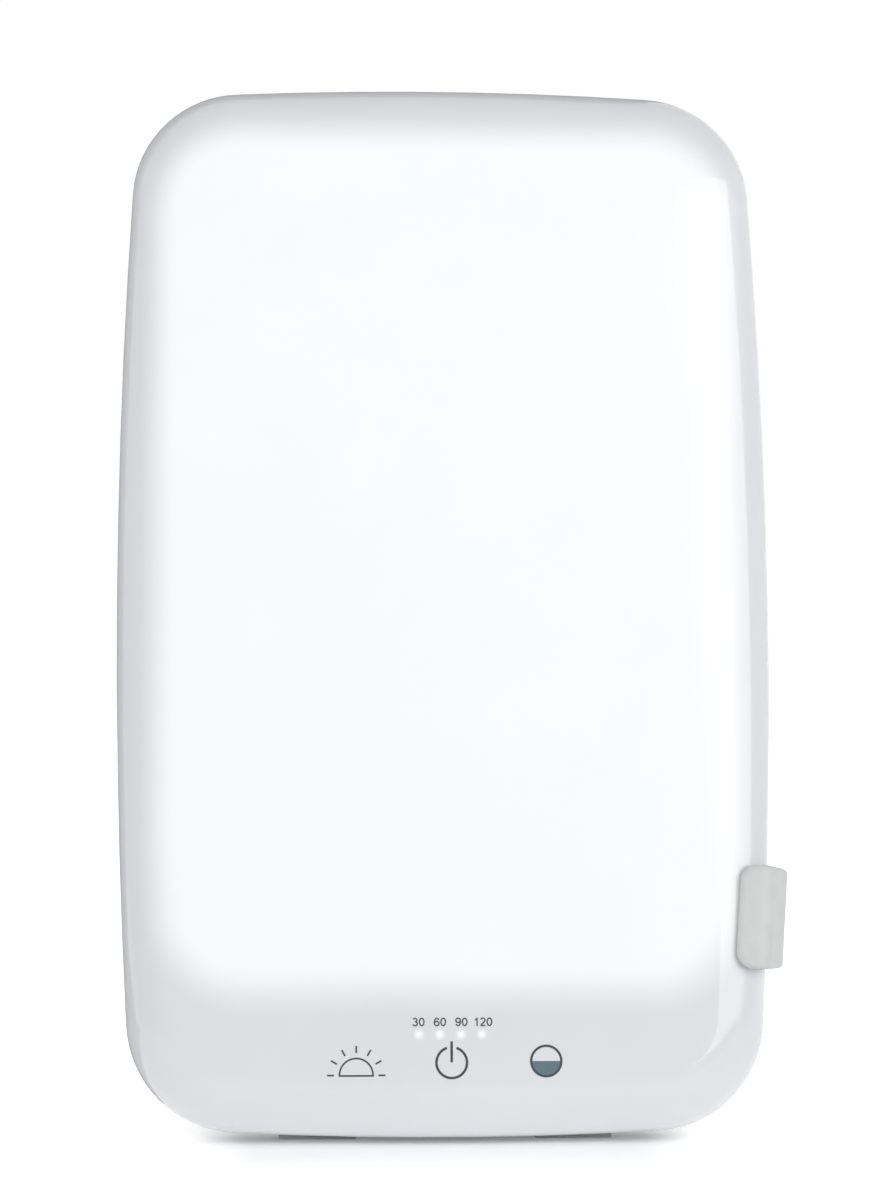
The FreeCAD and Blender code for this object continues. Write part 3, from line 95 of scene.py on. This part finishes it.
# Printed marks: the ink's thickness and its gap to the cover, and then each mark in the lamp frame, where
# a side is X and a height, base or middle is Z. A row of four lies off the lamp's middle by its shift, and
# a dot is at full strength in its core, a share of its radius.
PRINT_DEPTH = 0.06
PRINT_LIFT = 0.01
SUN_SIDE, SUN_BASE, SUN_RADIUS, SUN_RISE = -43.2, -223.4, 8.1, 0.6
RAY_START, RAY_END, RAY_COUNT = 10.2, 13.4, 7
THIN_LINE = 0.78
POWER_SIDE, POWER_HEIGHT, POWER_RADIUS, POWER_LINE = 0.65, -217.15, 7.6, 1.15
POWER_GAP = 18
POWER_BAR = (0.1, 9.7)
DISC_SIDE, DISC_HEIGHT, DISC_RADIUS, DISC_LINE = 44.2, -216.6, 7.5, 1.1
NUMBERS = ("30", "60", "90", "120")
DIGIT_PITCH, DIGIT_MIDDLE, DIGIT_HEIGHT, DIGIT_SHIFT = 9.9, -198.6, 3.85, 0.28
DOT_PITCH, DOT_MIDDLE, DOT_RADIUS, DOT_SHIFT = 9.7, -204.3, 3.3, 0.1
DOT_CORE = 0.1

# how many straight sides make up a ring, half a ring, the power ring and a curve of a digit
RING_SIDES, HALF_SIDES, POWER_SIDES, BOWL_SIDES = 96, 48, 90, 24

# Digits, in units of their height: the step from one to the next and the line's width. A digit's second
# line stands higher where it crosses the first, by a share of the ink's thickness.
DIGIT_STEP, DIGIT_LINE, DIGIT_CROSSING = 0.78, 0.16, 0.15


# ---------------------------------------------------------------- where the lamp is


def lamp_placement():
    """The matrix from the lamp frame to the scene, and Y of the cover's flat front, both in metres."""
    turn = Matrix.Rotation(math.radians(LEAN), 4, "X")
    points = [turn @ vertex.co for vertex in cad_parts["front_cover"].data.vertices]
    low = Vector(min(point[axis] for point in points) for axis in range(3))
    high = Vector(max(point[axis] for point in points) for axis in range(3))
    origin = Vector(((low.x + high.x) / 2, high.y, (low.z + high.z) / 2))
    return turn.inverted() @ Matrix.Translation(origin), low.y - high.y


LAMP, FRONT = lamp_placement()


# ---------------------------------------------------------------- objects and nodes


def add_mesh(form, name, material):
    """An object with this form, which is used up."""
    data = bpy.data.meshes.new(name)
    form.to_mesh(data)
    form.free()
    data.materials.append(material)
    piece = bpy.data.objects.new(name, data)
    bpy.context.scene.collection.objects.link(piece)
    return piece


def bare_tree(owner, output):
    """The emptied node tree of a material or world, and the surface socket of its new output."""
    owner.use_nodes = True
    owner.node_tree.nodes.clear()
    return owner.node_tree, owner.node_tree.nodes.new(output).inputs["Surface"]


def feed(tree, socket, value):
    """Sets a node's input to a number, or links it to another node's output."""
    if isinstance(value, (int, float)):
        socket.default_value = value
    else:
        tree.links.new(value, socket)


def maths(tree, operation, first, second=0.0):
    node = tree.nodes.new("ShaderNodeMath")
    node.operation = operation
    feed(tree, node.inputs[0], first)
    feed(tree, node.inputs[1], second)
    return node.outputs[0]


def distance_of(tree, first, second):
    """The distance that two offsets at right angles make together."""
    squares = [maths(tree, "MULTIPLY", offset, offset) for offset in (first, second)]
    return maths(tree, "SQRT", maths(tree, "ADD", *squares))


def map_range(tree, share, start, end, low, high, smooth=False):
    """From low where share is start to high where it is end, and level beyond them."""
    node = tree.nodes.new("ShaderNodeMapRange")
    if smooth:
        node.interpolation_type = "SMOOTHSTEP"
    for index, value in enumerate((share, start, end, low, high)):
        feed(tree, node.inputs[index], value)
    return node.outputs["Result"]


def seen_directly(tree):
    """1 for what the camera, a mirror or glass shows, and 0 for the light that falls on surfaces."""
    path = tree.nodes.new("ShaderNodeLightPath")
    either = maths(tree, "MAXIMUM", path.outputs["Is Camera Ray"], path.outputs["Is Glossy Ray"])
    return maths(tree, "MAXIMUM", either, path.outputs["Is Transmission Ray"])


# ---------------------------------------------------------------- camera, floor and lights


def facing(direction):
    """The turn that points a camera or light this way."""
    return direction.to_track_quat("-Z", "Y")


def add_camera():
    """Looks along the photo's two angles, moved so that the lamp falls on its pixel, and then rolled."""
    azimuth, elevation = math.radians(CAMERA_AZIMUTH), math.radians(CAMERA_ELEVATION)
    back = Vector((
        math.sin(azimuth) * math.cos(elevation),
        -math.cos(azimuth) * math.cos(elevation),
        math.sin(elevation),
    ))
    turn = facing(-back)
    right, up = turn @ Vector((1, 0, 0)), turn @ Vector((0, 1, 0))
    beside = (LAMP_PIXEL[0] - PHOTO_WIDTH / 2) / PIXELS_PER_MM
    below = (LAMP_PIXEL[1] - PHOTO_HEIGHT / 2) / PIXELS_PER_MM
    data = bpy.data.cameras.new("camera")
    data.sensor_width = SENSOR
    data.lens = PIXELS_PER_MM * CAMERA_DISTANCE / PHOTO_HEIGHT * SENSOR
    roll = Matrix.Rotation(math.radians(CAMERA_ROLL), 3, "Z").to_quaternion()
    camera = bpy.data.objects.new("camera", data)
    camera.rotation_mode = "QUATERNION"
    camera.rotation_quaternion = turn @ roll
    camera.location = LAMP.translation + (back * CAMERA_DISTANCE - right * beside + up * below) * MM
    bpy.context.scene.collection.objects.link(camera)
    bpy.context.scene.camera = camera


def add_light(name, centre, target, width, height, radiance):
    data = bpy.data.lights.new(name, "AREA")
    data.shape = "RECTANGLE"
    data.size, data.size_y = width, height
    data.energy = math.pi * width * height * radiance
    light = bpy.data.objects.new(name, data)
    light.location = centre
    light.rotation_mode = "QUATERNION"
    light.rotation_quaternion = facing(Vector(target) - Vector(centre))
    light.visible_camera = False
    light.visible_glossy = name == KEY
    bpy.context.scene.collection.objects.link(light)


def set_world():
    """Soft white surroundings, which the camera sees as plain white."""
    world = bpy.data.worlds.new("surroundings")
    tree, surface = bare_tree(world, "ShaderNodeOutputWorld")
    mix = tree.nodes.new("ShaderNodeMixShader")
    tree.links.new(seen_directly(tree), mix.inputs["Fac"])
    for index, (colour, strength) in enumerate(((AMBIENT_COLOUR, AMBIENT), (PLAIN_WHITE, 1)), 1):
        light = tree.nodes.new("ShaderNodeBackground")
        light.inputs["Color"].default_value = colour
        light.inputs["Strength"].default_value = strength
        tree.links.new(light.outputs[0], mix.inputs[index])
    tree.links.new(mix.outputs[0], surface)
    bpy.context.scene.world = world


def painted_floor_light(tree):
    """How much painted light the floor adds where it is seen: little at the feet, where the lamp's shadow
    stays dark, and more further off, where it washes that shadow out.
    """
    place = tree.nodes.new("ShaderNodeSeparateXYZ")
    tree.links.new(tree.nodes.new("ShaderNodeTexCoord").outputs["Object"], place.inputs[0])
    past_feet = maths(tree, "SUBTRACT", maths(tree, "ABSOLUTE", place.outputs[0]), FEET_HALF)
    beside = maths(tree, "MULTIPLY", maths(tree, "MAXIMUM", past_feet, 0.0), BESIDE_FEET)
    along = maths(tree, "SUBTRACT", place.outputs[1], FEET_ROW)
    distance = distance_of(tree, beside, along)
    lift = FLOOR_PAINTED_LIGHT[0][1]
    for (near, low), (far, high) in zip(FLOOR_PAINTED_LIGHT, FLOOR_PAINTED_LIGHT[1:]):
        lift = maths(tree, "ADD", lift, map_range(tree, distance, near, far, 0, high - low))
    return maths(tree, "MULTIPLY", seen_directly(tree), lift)


def floor_white(name):
    """Matt white that keeps the lamp's shadow near the feet, with painted light of its own where it is
    seen, which washes that shadow out further off.
    """
    material = bpy.data.materials.new(name)
    tree, surface = bare_tree(material, "ShaderNodeOutputMaterial")
    matt = tree.nodes.new("ShaderNodeBsdfDiffuse")
    matt.inputs["Color"].default_value = (FLOOR_ALBEDO, FLOOR_ALBEDO, FLOOR_ALBEDO, 1)
    # painted light, seen by the camera and in mirrors, weakest near the feet so the shadow shows only there
    glow = tree.nodes.new("ShaderNodeEmission")
    tree.links.new(painted_floor_light(tree), glow.inputs["Strength"])
    both = tree.nodes.new("ShaderNodeAddShader")
    tree.links.new(matt.outputs[0], both.inputs[0])
    tree.links.new(glow.outputs[0], both.inputs[1])
    tree.links.new(both.outputs[0], surface)
    return material


def add_floor():
    """A plain white floor."""
    form = bmesh.new()
    bmesh.ops.create_grid(form, x_segments=1, y_segments=1, size=FLOOR_HALF)
    add_mesh(form, "floor", floor_white("floor_white"))


def card_grey(name):
    material = bpy.data.materials.new(name)
    tree, surface = bare_tree(material, "ShaderNodeOutputMaterial")
    grey = tree.nodes.new("ShaderNodeEmission")
    grey.inputs["Strength"].default_value = CARD_GREY
    tree.links.new(grey.outputs[0], surface)
    return material


def add_card():
    """A grey card behind the lamp, whose mirror image sets its left and top edges off from the white."""
    form = bmesh.new()
    upright, flat = (CARD_RIGHT, CARD_BACK, CARD_HEIGHT), (CARD_FLOOR_RIGHT, CARD_FRONT, CARD_LIFT)
    for right, front, height in (upright, flat):
        low = [(CARD_LEFT, CARD_BACK, CARD_LIFT), (right, CARD_BACK, CARD_LIFT)]
        high = [(right, front, height), (CARD_LEFT, front, height)]
        form.faces.new([form.verts.new(corner) for corner in low + high])
    card = add_mesh(form, "card", card_grey("card_grey"))
    card.visible_camera = card.visible_diffuse = card.visible_shadow = card.visible_transmission = False


# ---------------------------------------------------------------- materials


class Finish:
    """A procedural material: one Principled shader, with short helpers for the nodes that feed it."""

    def __init__(self, name, roughness, metallic=0.0):
        self.material = bpy.data.materials.new(name)
        self.material.use_nodes = True
        self.tree = self.material.node_tree
        self.shader = self.tree.nodes["Principled BSDF"]
        self.roughness = roughness
        self.shader.inputs["Roughness"].default_value = roughness
        self.shader.inputs["Metallic"].default_value = metallic
        self.place = self.tree.nodes.new("ShaderNodeTexCoord").outputs["Object"]

    def link(self, source, target):
        self.tree.links.new(source, target)

    def noise(self, grain, detail=2.0, stretch=(1, 1, 1)):
        """Noise whose grain is about this many millimetres across, longer where stretch is under 1."""
        mapping = self.tree.nodes.new("ShaderNodeMapping")
        mapping.inputs["Scale"].default_value = [share / (grain * MM) for share in stretch]
        self.link(self.place, mapping.inputs["Vector"])
        texture = self.tree.nodes.new("ShaderNodeTexNoise")
        texture.inputs["Scale"].default_value = 1
        texture.inputs["Detail"].default_value = detail
        self.link(mapping.outputs[0], texture.inputs["Vector"])
        return texture.outputs["Fac"]

    def colour(self, share, low, high):
        """A colour that varies between two, as noise does."""
        ramp = self.tree.nodes.new("ShaderNodeValToRGB")
        ends = ((NOISE_LOW, low), (NOISE_HIGH, high))
        for element, (position, colour) in zip(ramp.color_ramp.elements, ends):
            element.position = position
            element.color = (*colour, 1)
        self.link(share, ramp.inputs["Fac"])
        self.link(ramp.outputs["Color"], self.shader.inputs["Base Color"])

    def vary_roughness(self, share, spread):
        """Roughness that varies by up to this much to either side, as noise does."""
        low, high = self.roughness - spread, self.roughness + spread
        varied = map_range(self.tree, share, NOISE_LOW, NOISE_HIGH, low, high)
        self.link(varied, self.shader.inputs["Roughness"])

    def bump(self, height, depth):
        """Relief of this depth in millimetres."""
        node = self.tree.nodes.new("ShaderNodeBump")
        node.inputs["Distance"].default_value = depth * MM
        self.link(height, node.inputs["Height"])
        self.link(node.outputs[0], self.shader.inputs["Normal"])

    def lamp_coordinates(self):
        """X, Y and Z in the lamp frame, in millimetres."""
        back = LAMP.inverted()
        mapping = self.tree.nodes.new("ShaderNodeMapping")
        mapping.inputs["Location"].default_value = back.translation / MM
        mapping.inputs["Rotation"].default_value = back.to_euler()
        mapping.inputs["Scale"].default_value = (1 / MM, 1 / MM, 1 / MM)
        self.link(self.place, mapping.inputs["Vector"])
        split = self.tree.nodes.new("ShaderNodeSeparateXYZ")
        self.link(mapping.outputs[0], split.inputs[0])
        return split.outputs


def row_of_four(pitch, shift):
    """X of each of the four numbers, or of the indicator dots under them."""
    return [(number - (len(NUMBERS) - 1) / 2) * pitch + shift for number in range(len(NUMBERS))]


def window_share(tree, x, z):
    """1 inside the lit window, fading to 0 at its rounded outline, more slowly along its bottom."""
    middle, half = (GLOW_TOP - GLOW_BOTTOM) / 2, (GLOW_TOP + GLOW_BOTTOM) / 2
    height = maths(tree, "ABSOLUTE", maths(tree, "SUBTRACT", z, middle))
    across = maths(tree, "SUBTRACT", maths(tree, "ABSOLUTE", x), GLOW_SIDE - GLOW_CORNER)
    up = maths(tree, "SUBTRACT", height, half - GLOW_CORNER)
    outside = distance_of(tree, maths(tree, "MAXIMUM", across, 0.0), maths(tree, "MAXIMUM", up, 0.0))
    inside = maths(tree, "MINIMUM", maths(tree, "MAXIMUM", across, up), 0.0)
    distance = maths(tree, "SUBTRACT", maths(tree, "ADD", outside, inside), GLOW_CORNER)
    start, end = (rise - GLOW_BOTTOM for rise in FADE_TURN)
    fade = map_range(tree, z, start, end, -GLOW_FADE_BOTTOM, -GLOW_FADE)
    return map_range(tree, distance, 0.0, fade, 0.0, 1.0, smooth=True)


def dots_share(tree, x, z):
    """1 in the middle of each of the four indicator dots, fading to 0 at its edge."""
    above = maths(tree, "SUBTRACT", z, DOT_MIDDLE)
    nearest = DOT_RADIUS
    for side in row_of_four(DOT_PITCH, DOT_SHIFT):
        distance = distance_of(tree, maths(tree, "SUBTRACT", x, side), above)
        nearest = maths(tree, "MINIMUM", nearest, distance)
    return map_range(tree, nearest, DOT_RADIUS * DOT_CORE, DOT_RADIUS, 1.0, 0.0, smooth=True)


def opal_cover(name):
    """Glossy opal plastic, lit from behind in the window and at the four indicators."""
    finish = Finish(name, roughness=0.06)
    finish.shader.inputs["IOR"].default_value = 1.55
    finish.colour(finish.noise(60), (0.75, 0.765, 0.79), (0.765, 0.78, 0.805))
    tree = finish.tree
    x, y, z = finish.lamp_coordinates()
    start, end = (FRONT / MM * share for share in GLOW_DEPTHS)
    forward = map_range(tree, y, start, end, 1.0, 0.0)
    lit = maths(tree, "MAXIMUM", window_share(tree, x, z), dots_share(tree, x, z))
    glow = maths(tree, "MULTIPLY", maths(tree, "MULTIPLY", lit, GLOW_STRENGTH), forward)
    finish.shader.inputs["Emission Color"].default_value = GLOW_COLOUR
    finish.link(glow, finish.shader.inputs["Emission Strength"])
    finish.bump(finish.noise(18), depth=0.01)
    return finish.material


def white_housing(name):
    """White moulded plastic with a fine spark-eroded grain."""
    finish = Finish(name, roughness=0.42)
    finish.colour(finish.noise(35), (0.775, 0.78, 0.785), (0.785, 0.79, 0.795))
    finish.vary_roughness(finish.noise(3), spread=0.06)
    finish.bump(finish.noise(0.45, detail=3), depth=0.03)
    return finish.material


def grey_metal(name):
    """Cast metal under a satin silver-grey paint with a fine orange-peel grain."""
    finish = Finish(name, roughness=0.45)
    finish.colour(finish.noise(9), (0.615, 0.63, 0.615), (0.65, 0.665, 0.65))
    finish.vary_roughness(finish.noise(1.5), spread=0.07)
    finish.bump(finish.noise(0.5, detail=3), depth=0.03)
    return finish.material


def brushed_aluminium(name):
    """Rolled sheet with fine lines along its length."""
    finish = Finish(name, roughness=0.3, metallic=1.0)
    lines = finish.noise(0.35, detail=3, stretch=(1, 1, 0.02))
    finish.colour(lines, (0.70, 0.71, 0.72), (0.82, 0.83, 0.84))
    finish.bump(lines, depth=0.01)
    return finish.material


def turned_steel(name):
    """Zinc-plated steel."""
    finish = Finish(name, roughness=0.31, metallic=1.0)
    finish.colour(finish.noise(1.2), (0.50, 0.50, 0.51), (0.64, 0.64, 0.65))
    finish.vary_roughness(finish.noise(0.6), spread=0.09)
    finish.bump(finish.noise(0.4), depth=0.01)
    return finish.material


def pale_rubber(name):
    """Moulded light grey rubber with a dull, faintly pitted skin."""
    finish = Finish(name, roughness=0.68)
    finish.colour(finish.noise(4), (0.50, 0.51, 0.51), (0.56, 0.57, 0.57))
    finish.vary_roughness(finish.noise(1.2), spread=0.08)
    finish.bump(finish.noise(0.5, detail=4), depth=0.05)
    return finish.material


def black_plastic(name):
    finish = Finish(name, roughness=0.4)
    finish.colour(finish.noise(5), (0.03, 0.031, 0.033), (0.045, 0.046, 0.048))
    finish.bump(finish.noise(0.4, detail=3), depth=0.02)
    return finish.material


def circuit_board(name, low, high, runs_per_metre=120):
    """Solder mask with copper runs just showing through it."""
    finish = Finish(name, roughness=0.3)
    runs = finish.tree.nodes.new("ShaderNodeTexBrick")
    runs.inputs["Scale"].default_value = runs_per_metre
    finish.link(finish.place, runs.inputs["Vector"])
    finish.colour(maths(finish.tree, "MULTIPLY", runs.outputs["Fac"], finish.noise(8)), low, high)
    finish.bump(runs.outputs["Fac"], depth=0.02)
    return finish.material


def green_board(name):
    return circuit_board(name, (0.02, 0.13, 0.06), (0.05, 0.24, 0.11))


def white_board(name):
    return circuit_board(name, (0.80, 0.80, 0.78), (0.70, 0.70, 0.68))


def matt_white(name):
    """White sheet and tray of the light box."""
    finish = Finish(name, roughness=0.6)
    finish.colour(finish.noise(12), (0.80, 0.81, 0.81), (0.86, 0.86, 0.86))
    finish.bump(finish.noise(1.0), depth=0.02)
    return finish.material


def phosphor(name):
    finish = Finish(name, roughness=0.5)
    finish.colour(finish.noise(0.8), (0.85, 0.75, 0.30), (0.90, 0.84, 0.45))
    finish.bump(finish.noise(0.3), depth=0.02)
    return finish.material


def grey_foam(name):
    finish = Finish(name, roughness=0.9)
    finish.colour(finish.noise(1.0), (0.10, 0.10, 0.11), (0.20, 0.20, 0.21))
    finish.bump(finish.noise(0.5, detail=4), depth=0.3)
    return finish.material


def capacitor_can(name):
    finish = Finish(name, roughness=0.32, metallic=0.6)
    finish.colour(finish.noise(2, stretch=(1, 1, 0.1)), (0.05, 0.07, 0.16), (0.09, 0.11, 0.22))
    finish.bump(finish.noise(0.7), depth=0.01)
    return finish.material


def pale_nylon(name):
    finish = Finish(name, roughness=0.45)
    finish.colour(finish.noise(3), (0.74, 0.73, 0.68), (0.80, 0.79, 0.74))
    finish.bump(finish.noise(0.5), depth=0.02)
    return finish.material


def black_lead(name):
    finish = Finish(name, roughness=0.5)
    finish.colour(finish.noise(2), (0.025, 0.025, 0.027), (0.05, 0.05, 0.052))
    finish.bump(finish.noise(0.8), depth=0.05)
    return finish.material


def ink(name, low, high):
    """Screen-printed ink."""
    finish = Finish(name, roughness=0.35)
    finish.colour(finish.noise(0.6), low, high)
    finish.bump(finish.noise(0.3), depth=0.01)
    return finish.material


def dark_ink(name):
    """Dark grey, for lines and digits."""
    return ink(name, (0.028, 0.04, 0.048), (0.038, 0.052, 0.06))


def blue_ink(name):
    """Blue-grey, for the filled half of the disc."""
    return ink(name, (0.09, 0.15, 0.185), (0.105, 0.17, 0.21))


FINISHES = {
    "opal_cover": opal_cover,
    "white_housing": white_housing,
    "diffuser": matt_white,
    "reflector": matt_white,
    "aluminium": brushed_aluminium,
    "white_board": white_board,
    "green_board": green_board,
    "led": phosphor,
    "steel": turned_steel,
    "foam": grey_foam,
    "black_plastic": black_plastic,
    "capacitor": capacitor_can,
    "connector": pale_nylon,
    "lead": black_lead,
    "grey_metal": grey_metal,
    "pale_rubber": pale_rubber,
    "bush": pale_nylon,
}


def dress_nodes():
    """Gives each CAD node the finish of the material slot that it already carries."""
    made = {slot: make(slot + "_finish") for slot, make in FINISHES.items()}
    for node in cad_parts.values():
        for place in node.material_slots:
            place.material = made[place.material.name.split(".")[0]]


# ---------------------------------------------------------------- printed marks


def bowl(centre, across, up, start, end, sides=BOWL_SIDES):
    """Points on an ellipse's arc, which turns from the right towards the top."""
    turns = [math.radians(start + (end - start) * side / sides) for side in range(sides + 1)]
    return [(centre[0] + across * math.cos(turn), centre[1] + up * math.sin(turn)) for turn in turns]


def arc(centre, radius, start, end, sides):
    return bowl(centre, radius, radius, start, end, sides)


def add_band(form, outer, inner, closed=False, depth=PRINT_DEPTH):
    """A thin closed slab between two rows of points of the lamp's front plane."""
    rows = []
    for lift in (PRINT_LIFT, PRINT_LIFT + depth):
        for row in (outer, inner):
            places = [LAMP @ Vector((x * MM, FRONT - lift * MM, z * MM)) for x, z in row]
            rows.append([form.verts.new(place) for place in places])
    low_out, low_in, top_out, top_in = rows
    count = len(outer)
    for here in range(count if closed else count - 1):
        there = (here + 1) % count
        form.faces.new((top_out[here], top_out[there], top_in[there], top_in[here]))
        form.faces.new((low_out[there], low_out[here], low_in[here], low_in[there]))
        form.faces.new((low_out[here], low_out[there], top_out[there], top_out[here]))
        form.faces.new((low_in[there], low_in[here], top_in[here], top_in[there]))
    if not closed:
        for end in (0, count - 1):
            form.faces.new((low_out[end], top_out[end], top_in[end], low_in[end]))


def finish_print(form, name, material):
    bmesh.ops.recalc_face_normals(form, faces=form.faces)
    piece = add_mesh(form, name, material)
    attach(piece, "lamp")


def add_sun(material):
    """Half sun with seven rays over its horizon."""
    form = bmesh.new()
    centre = (SUN_SIDE, SUN_BASE + SUN_RISE)
    rows = []
    for radius, base in ((SUN_RADIUS, SUN_BASE), (SUN_RADIUS - THIN_LINE, SUN_BASE + THIN_LINE)):
        right, left = (SUN_SIDE + radius, base), (SUN_SIDE - radius, base)
        rows.append([right] + arc(centre, radius, 0, 180, HALF_SIDES) + [left])
    add_band(form, *rows, closed=True)
    for number in range(RAY_COUNT):
        turn = math.radians(180 * number / (RAY_COUNT - 1))
        ahead = Vector((math.cos(turn), math.sin(turn)))
        beside = Vector((-ahead.y, ahead.x)) * THIN_LINE / 2
        ends = [Vector(centre) + ahead * reach for reach in (RAY_START, RAY_END)]
        add_band(form, [end + beside for end in ends], [end - beside for end in ends])
    finish_print(form, "print_sun", material)


def add_power(material):
    """Ring open at the top, with a bar in its gap."""
    form = bmesh.new()
    centre = (POWER_SIDE, POWER_HEIGHT)
    start, end = 90 + POWER_GAP, 450 - POWER_GAP
    radii = (POWER_RADIUS, POWER_RADIUS - POWER_LINE)
    add_band(form, *(arc(centre, radius, start, end, POWER_SIDES) for radius in radii))
    left, right = POWER_SIDE - POWER_LINE / 2, POWER_SIDE + POWER_LINE / 2
    low, high = (POWER_HEIGHT + rise for rise in POWER_BAR)
    add_band(form, [(left, low), (left, high)], [(right, low), (right, high)])
    finish_print(form, "print_power", material)


def add_half_disc(line_material, fill_material):
    """Ring whose lower half is filled in a second colour."""
    centre, inside = (DISC_SIDE, DISC_HEIGHT), DISC_RADIUS - DISC_LINE
    form = bmesh.new()
    rows = [arc(centre, radius, 0, 360, RING_SIDES)[:-1] for radius in (DISC_RADIUS, inside)]
    add_band(form, *rows, closed=True)
    finish_print(form, "print_disc", line_material)
    form = bmesh.new()
    curve = arc(centre, inside, 180, 360, HALF_SIDES)[1:-1]
    add_band(form, curve, [(x, DISC_HEIGHT) for x, _ in curve])
    finish_print(form, "print_half_disc", fill_material)


# The middle lines of plain digits that are 1 high and stand in a step of DIGIT_STEP. A line that ends where
# it starts is closed, and a nine is a six turned upside down.
SIX = [
    bowl((0.40, 0.50), 0.275, 0.44, 33, 180) + [(0.125, 0.335)],
    bowl((0.395, 0.315), 0.27, 0.255, 0, 360),
]
DIGIT_SHAPES = {
    "0": [bowl((0.39, 0.5), 0.27, 0.44, 0, 360)],
    "1": [[(0.47, 0.0), (0.47, 1.0)], [(0.44, 0.86), (0.36, 0.79), (0.22, 0.75)]],
    "2": [bowl((0.385, 0.70), 0.255, 0.243, 168, -38) + [(0.16, 0.12)], [(0.10, 0.058), (0.68, 0.058)]],
    "3": [bowl((0.375, 0.735), 0.23, 0.207, 160, -95), bowl((0.375, 0.30), 0.265, 0.242, 95, -162)],
    "6": SIX,
    "9": [[(DIGIT_STEP - x, 1 - y) for x, y in line] for line in SIX],
}


def edges_of(line, closed):
    """Two rows of points, half a digit's line to either side of its middle line."""
    outer, inner = [], []
    for here, (x, y) in enumerate(line):
        if closed:
            before, after = line[here - 1], line[(here + 1) % len(line)]
        else:
            before, after = line[max(here - 1, 0)], line[min(here + 1, len(line) - 1)]
        ahead = (Vector(after) - Vector(before)).normalized() * DIGIT_LINE / 2
        outer.append((x - ahead.y, y + ahead.x))
        inner.append((x + ahead.y, y - ahead.x))
    return outer, inner


def add_digit(form, digit, left, low):
    """One digit, its lower left corner at this place of the lamp's front plane."""
    for number, line in enumerate(DIGIT_SHAPES[digit]):
        closed = math.dist(line[0], line[-1]) < DIGIT_LINE / 10
        rows = edges_of(line[:-1] if closed else line, closed)
        placed = [[(left + x * DIGIT_HEIGHT, low + y * DIGIT_HEIGHT) for x, y in row] for row in rows]
        add_band(form, *placed, closed=closed, depth=PRINT_DEPTH * (1 + number * DIGIT_CROSSING))


def add_numbers(material):
    """The four running times, in minutes, above their indicators."""
    for text, middle in zip(NUMBERS, row_of_four(DIGIT_PITCH, DIGIT_SHIFT)):
        form = bmesh.new()
        for place, digit in enumerate(text):
            left = middle + (place - len(text) / 2) * DIGIT_STEP * DIGIT_HEIGHT
            add_digit(form, digit, left, DIGIT_MIDDLE - DIGIT_HEIGHT / 2)
        finish_print(form, "print_" + text, material)


def add_prints():
    lines, fill = dark_ink("print_lines"), blue_ink("print_fill")
    add_sun(lines)
    add_power(lines)
    add_half_disc(lines, fill)
    add_numbers(lines)


# ---------------------------------------------------------------- the whole scene


add_camera()
set_world()
add_floor()
add_card()
for name, box in SOFTBOXES.items():
    add_light(name, *box)
dress_nodes()
add_prints()
bpy.context.scene.view_settings.view_transform = "Standard"
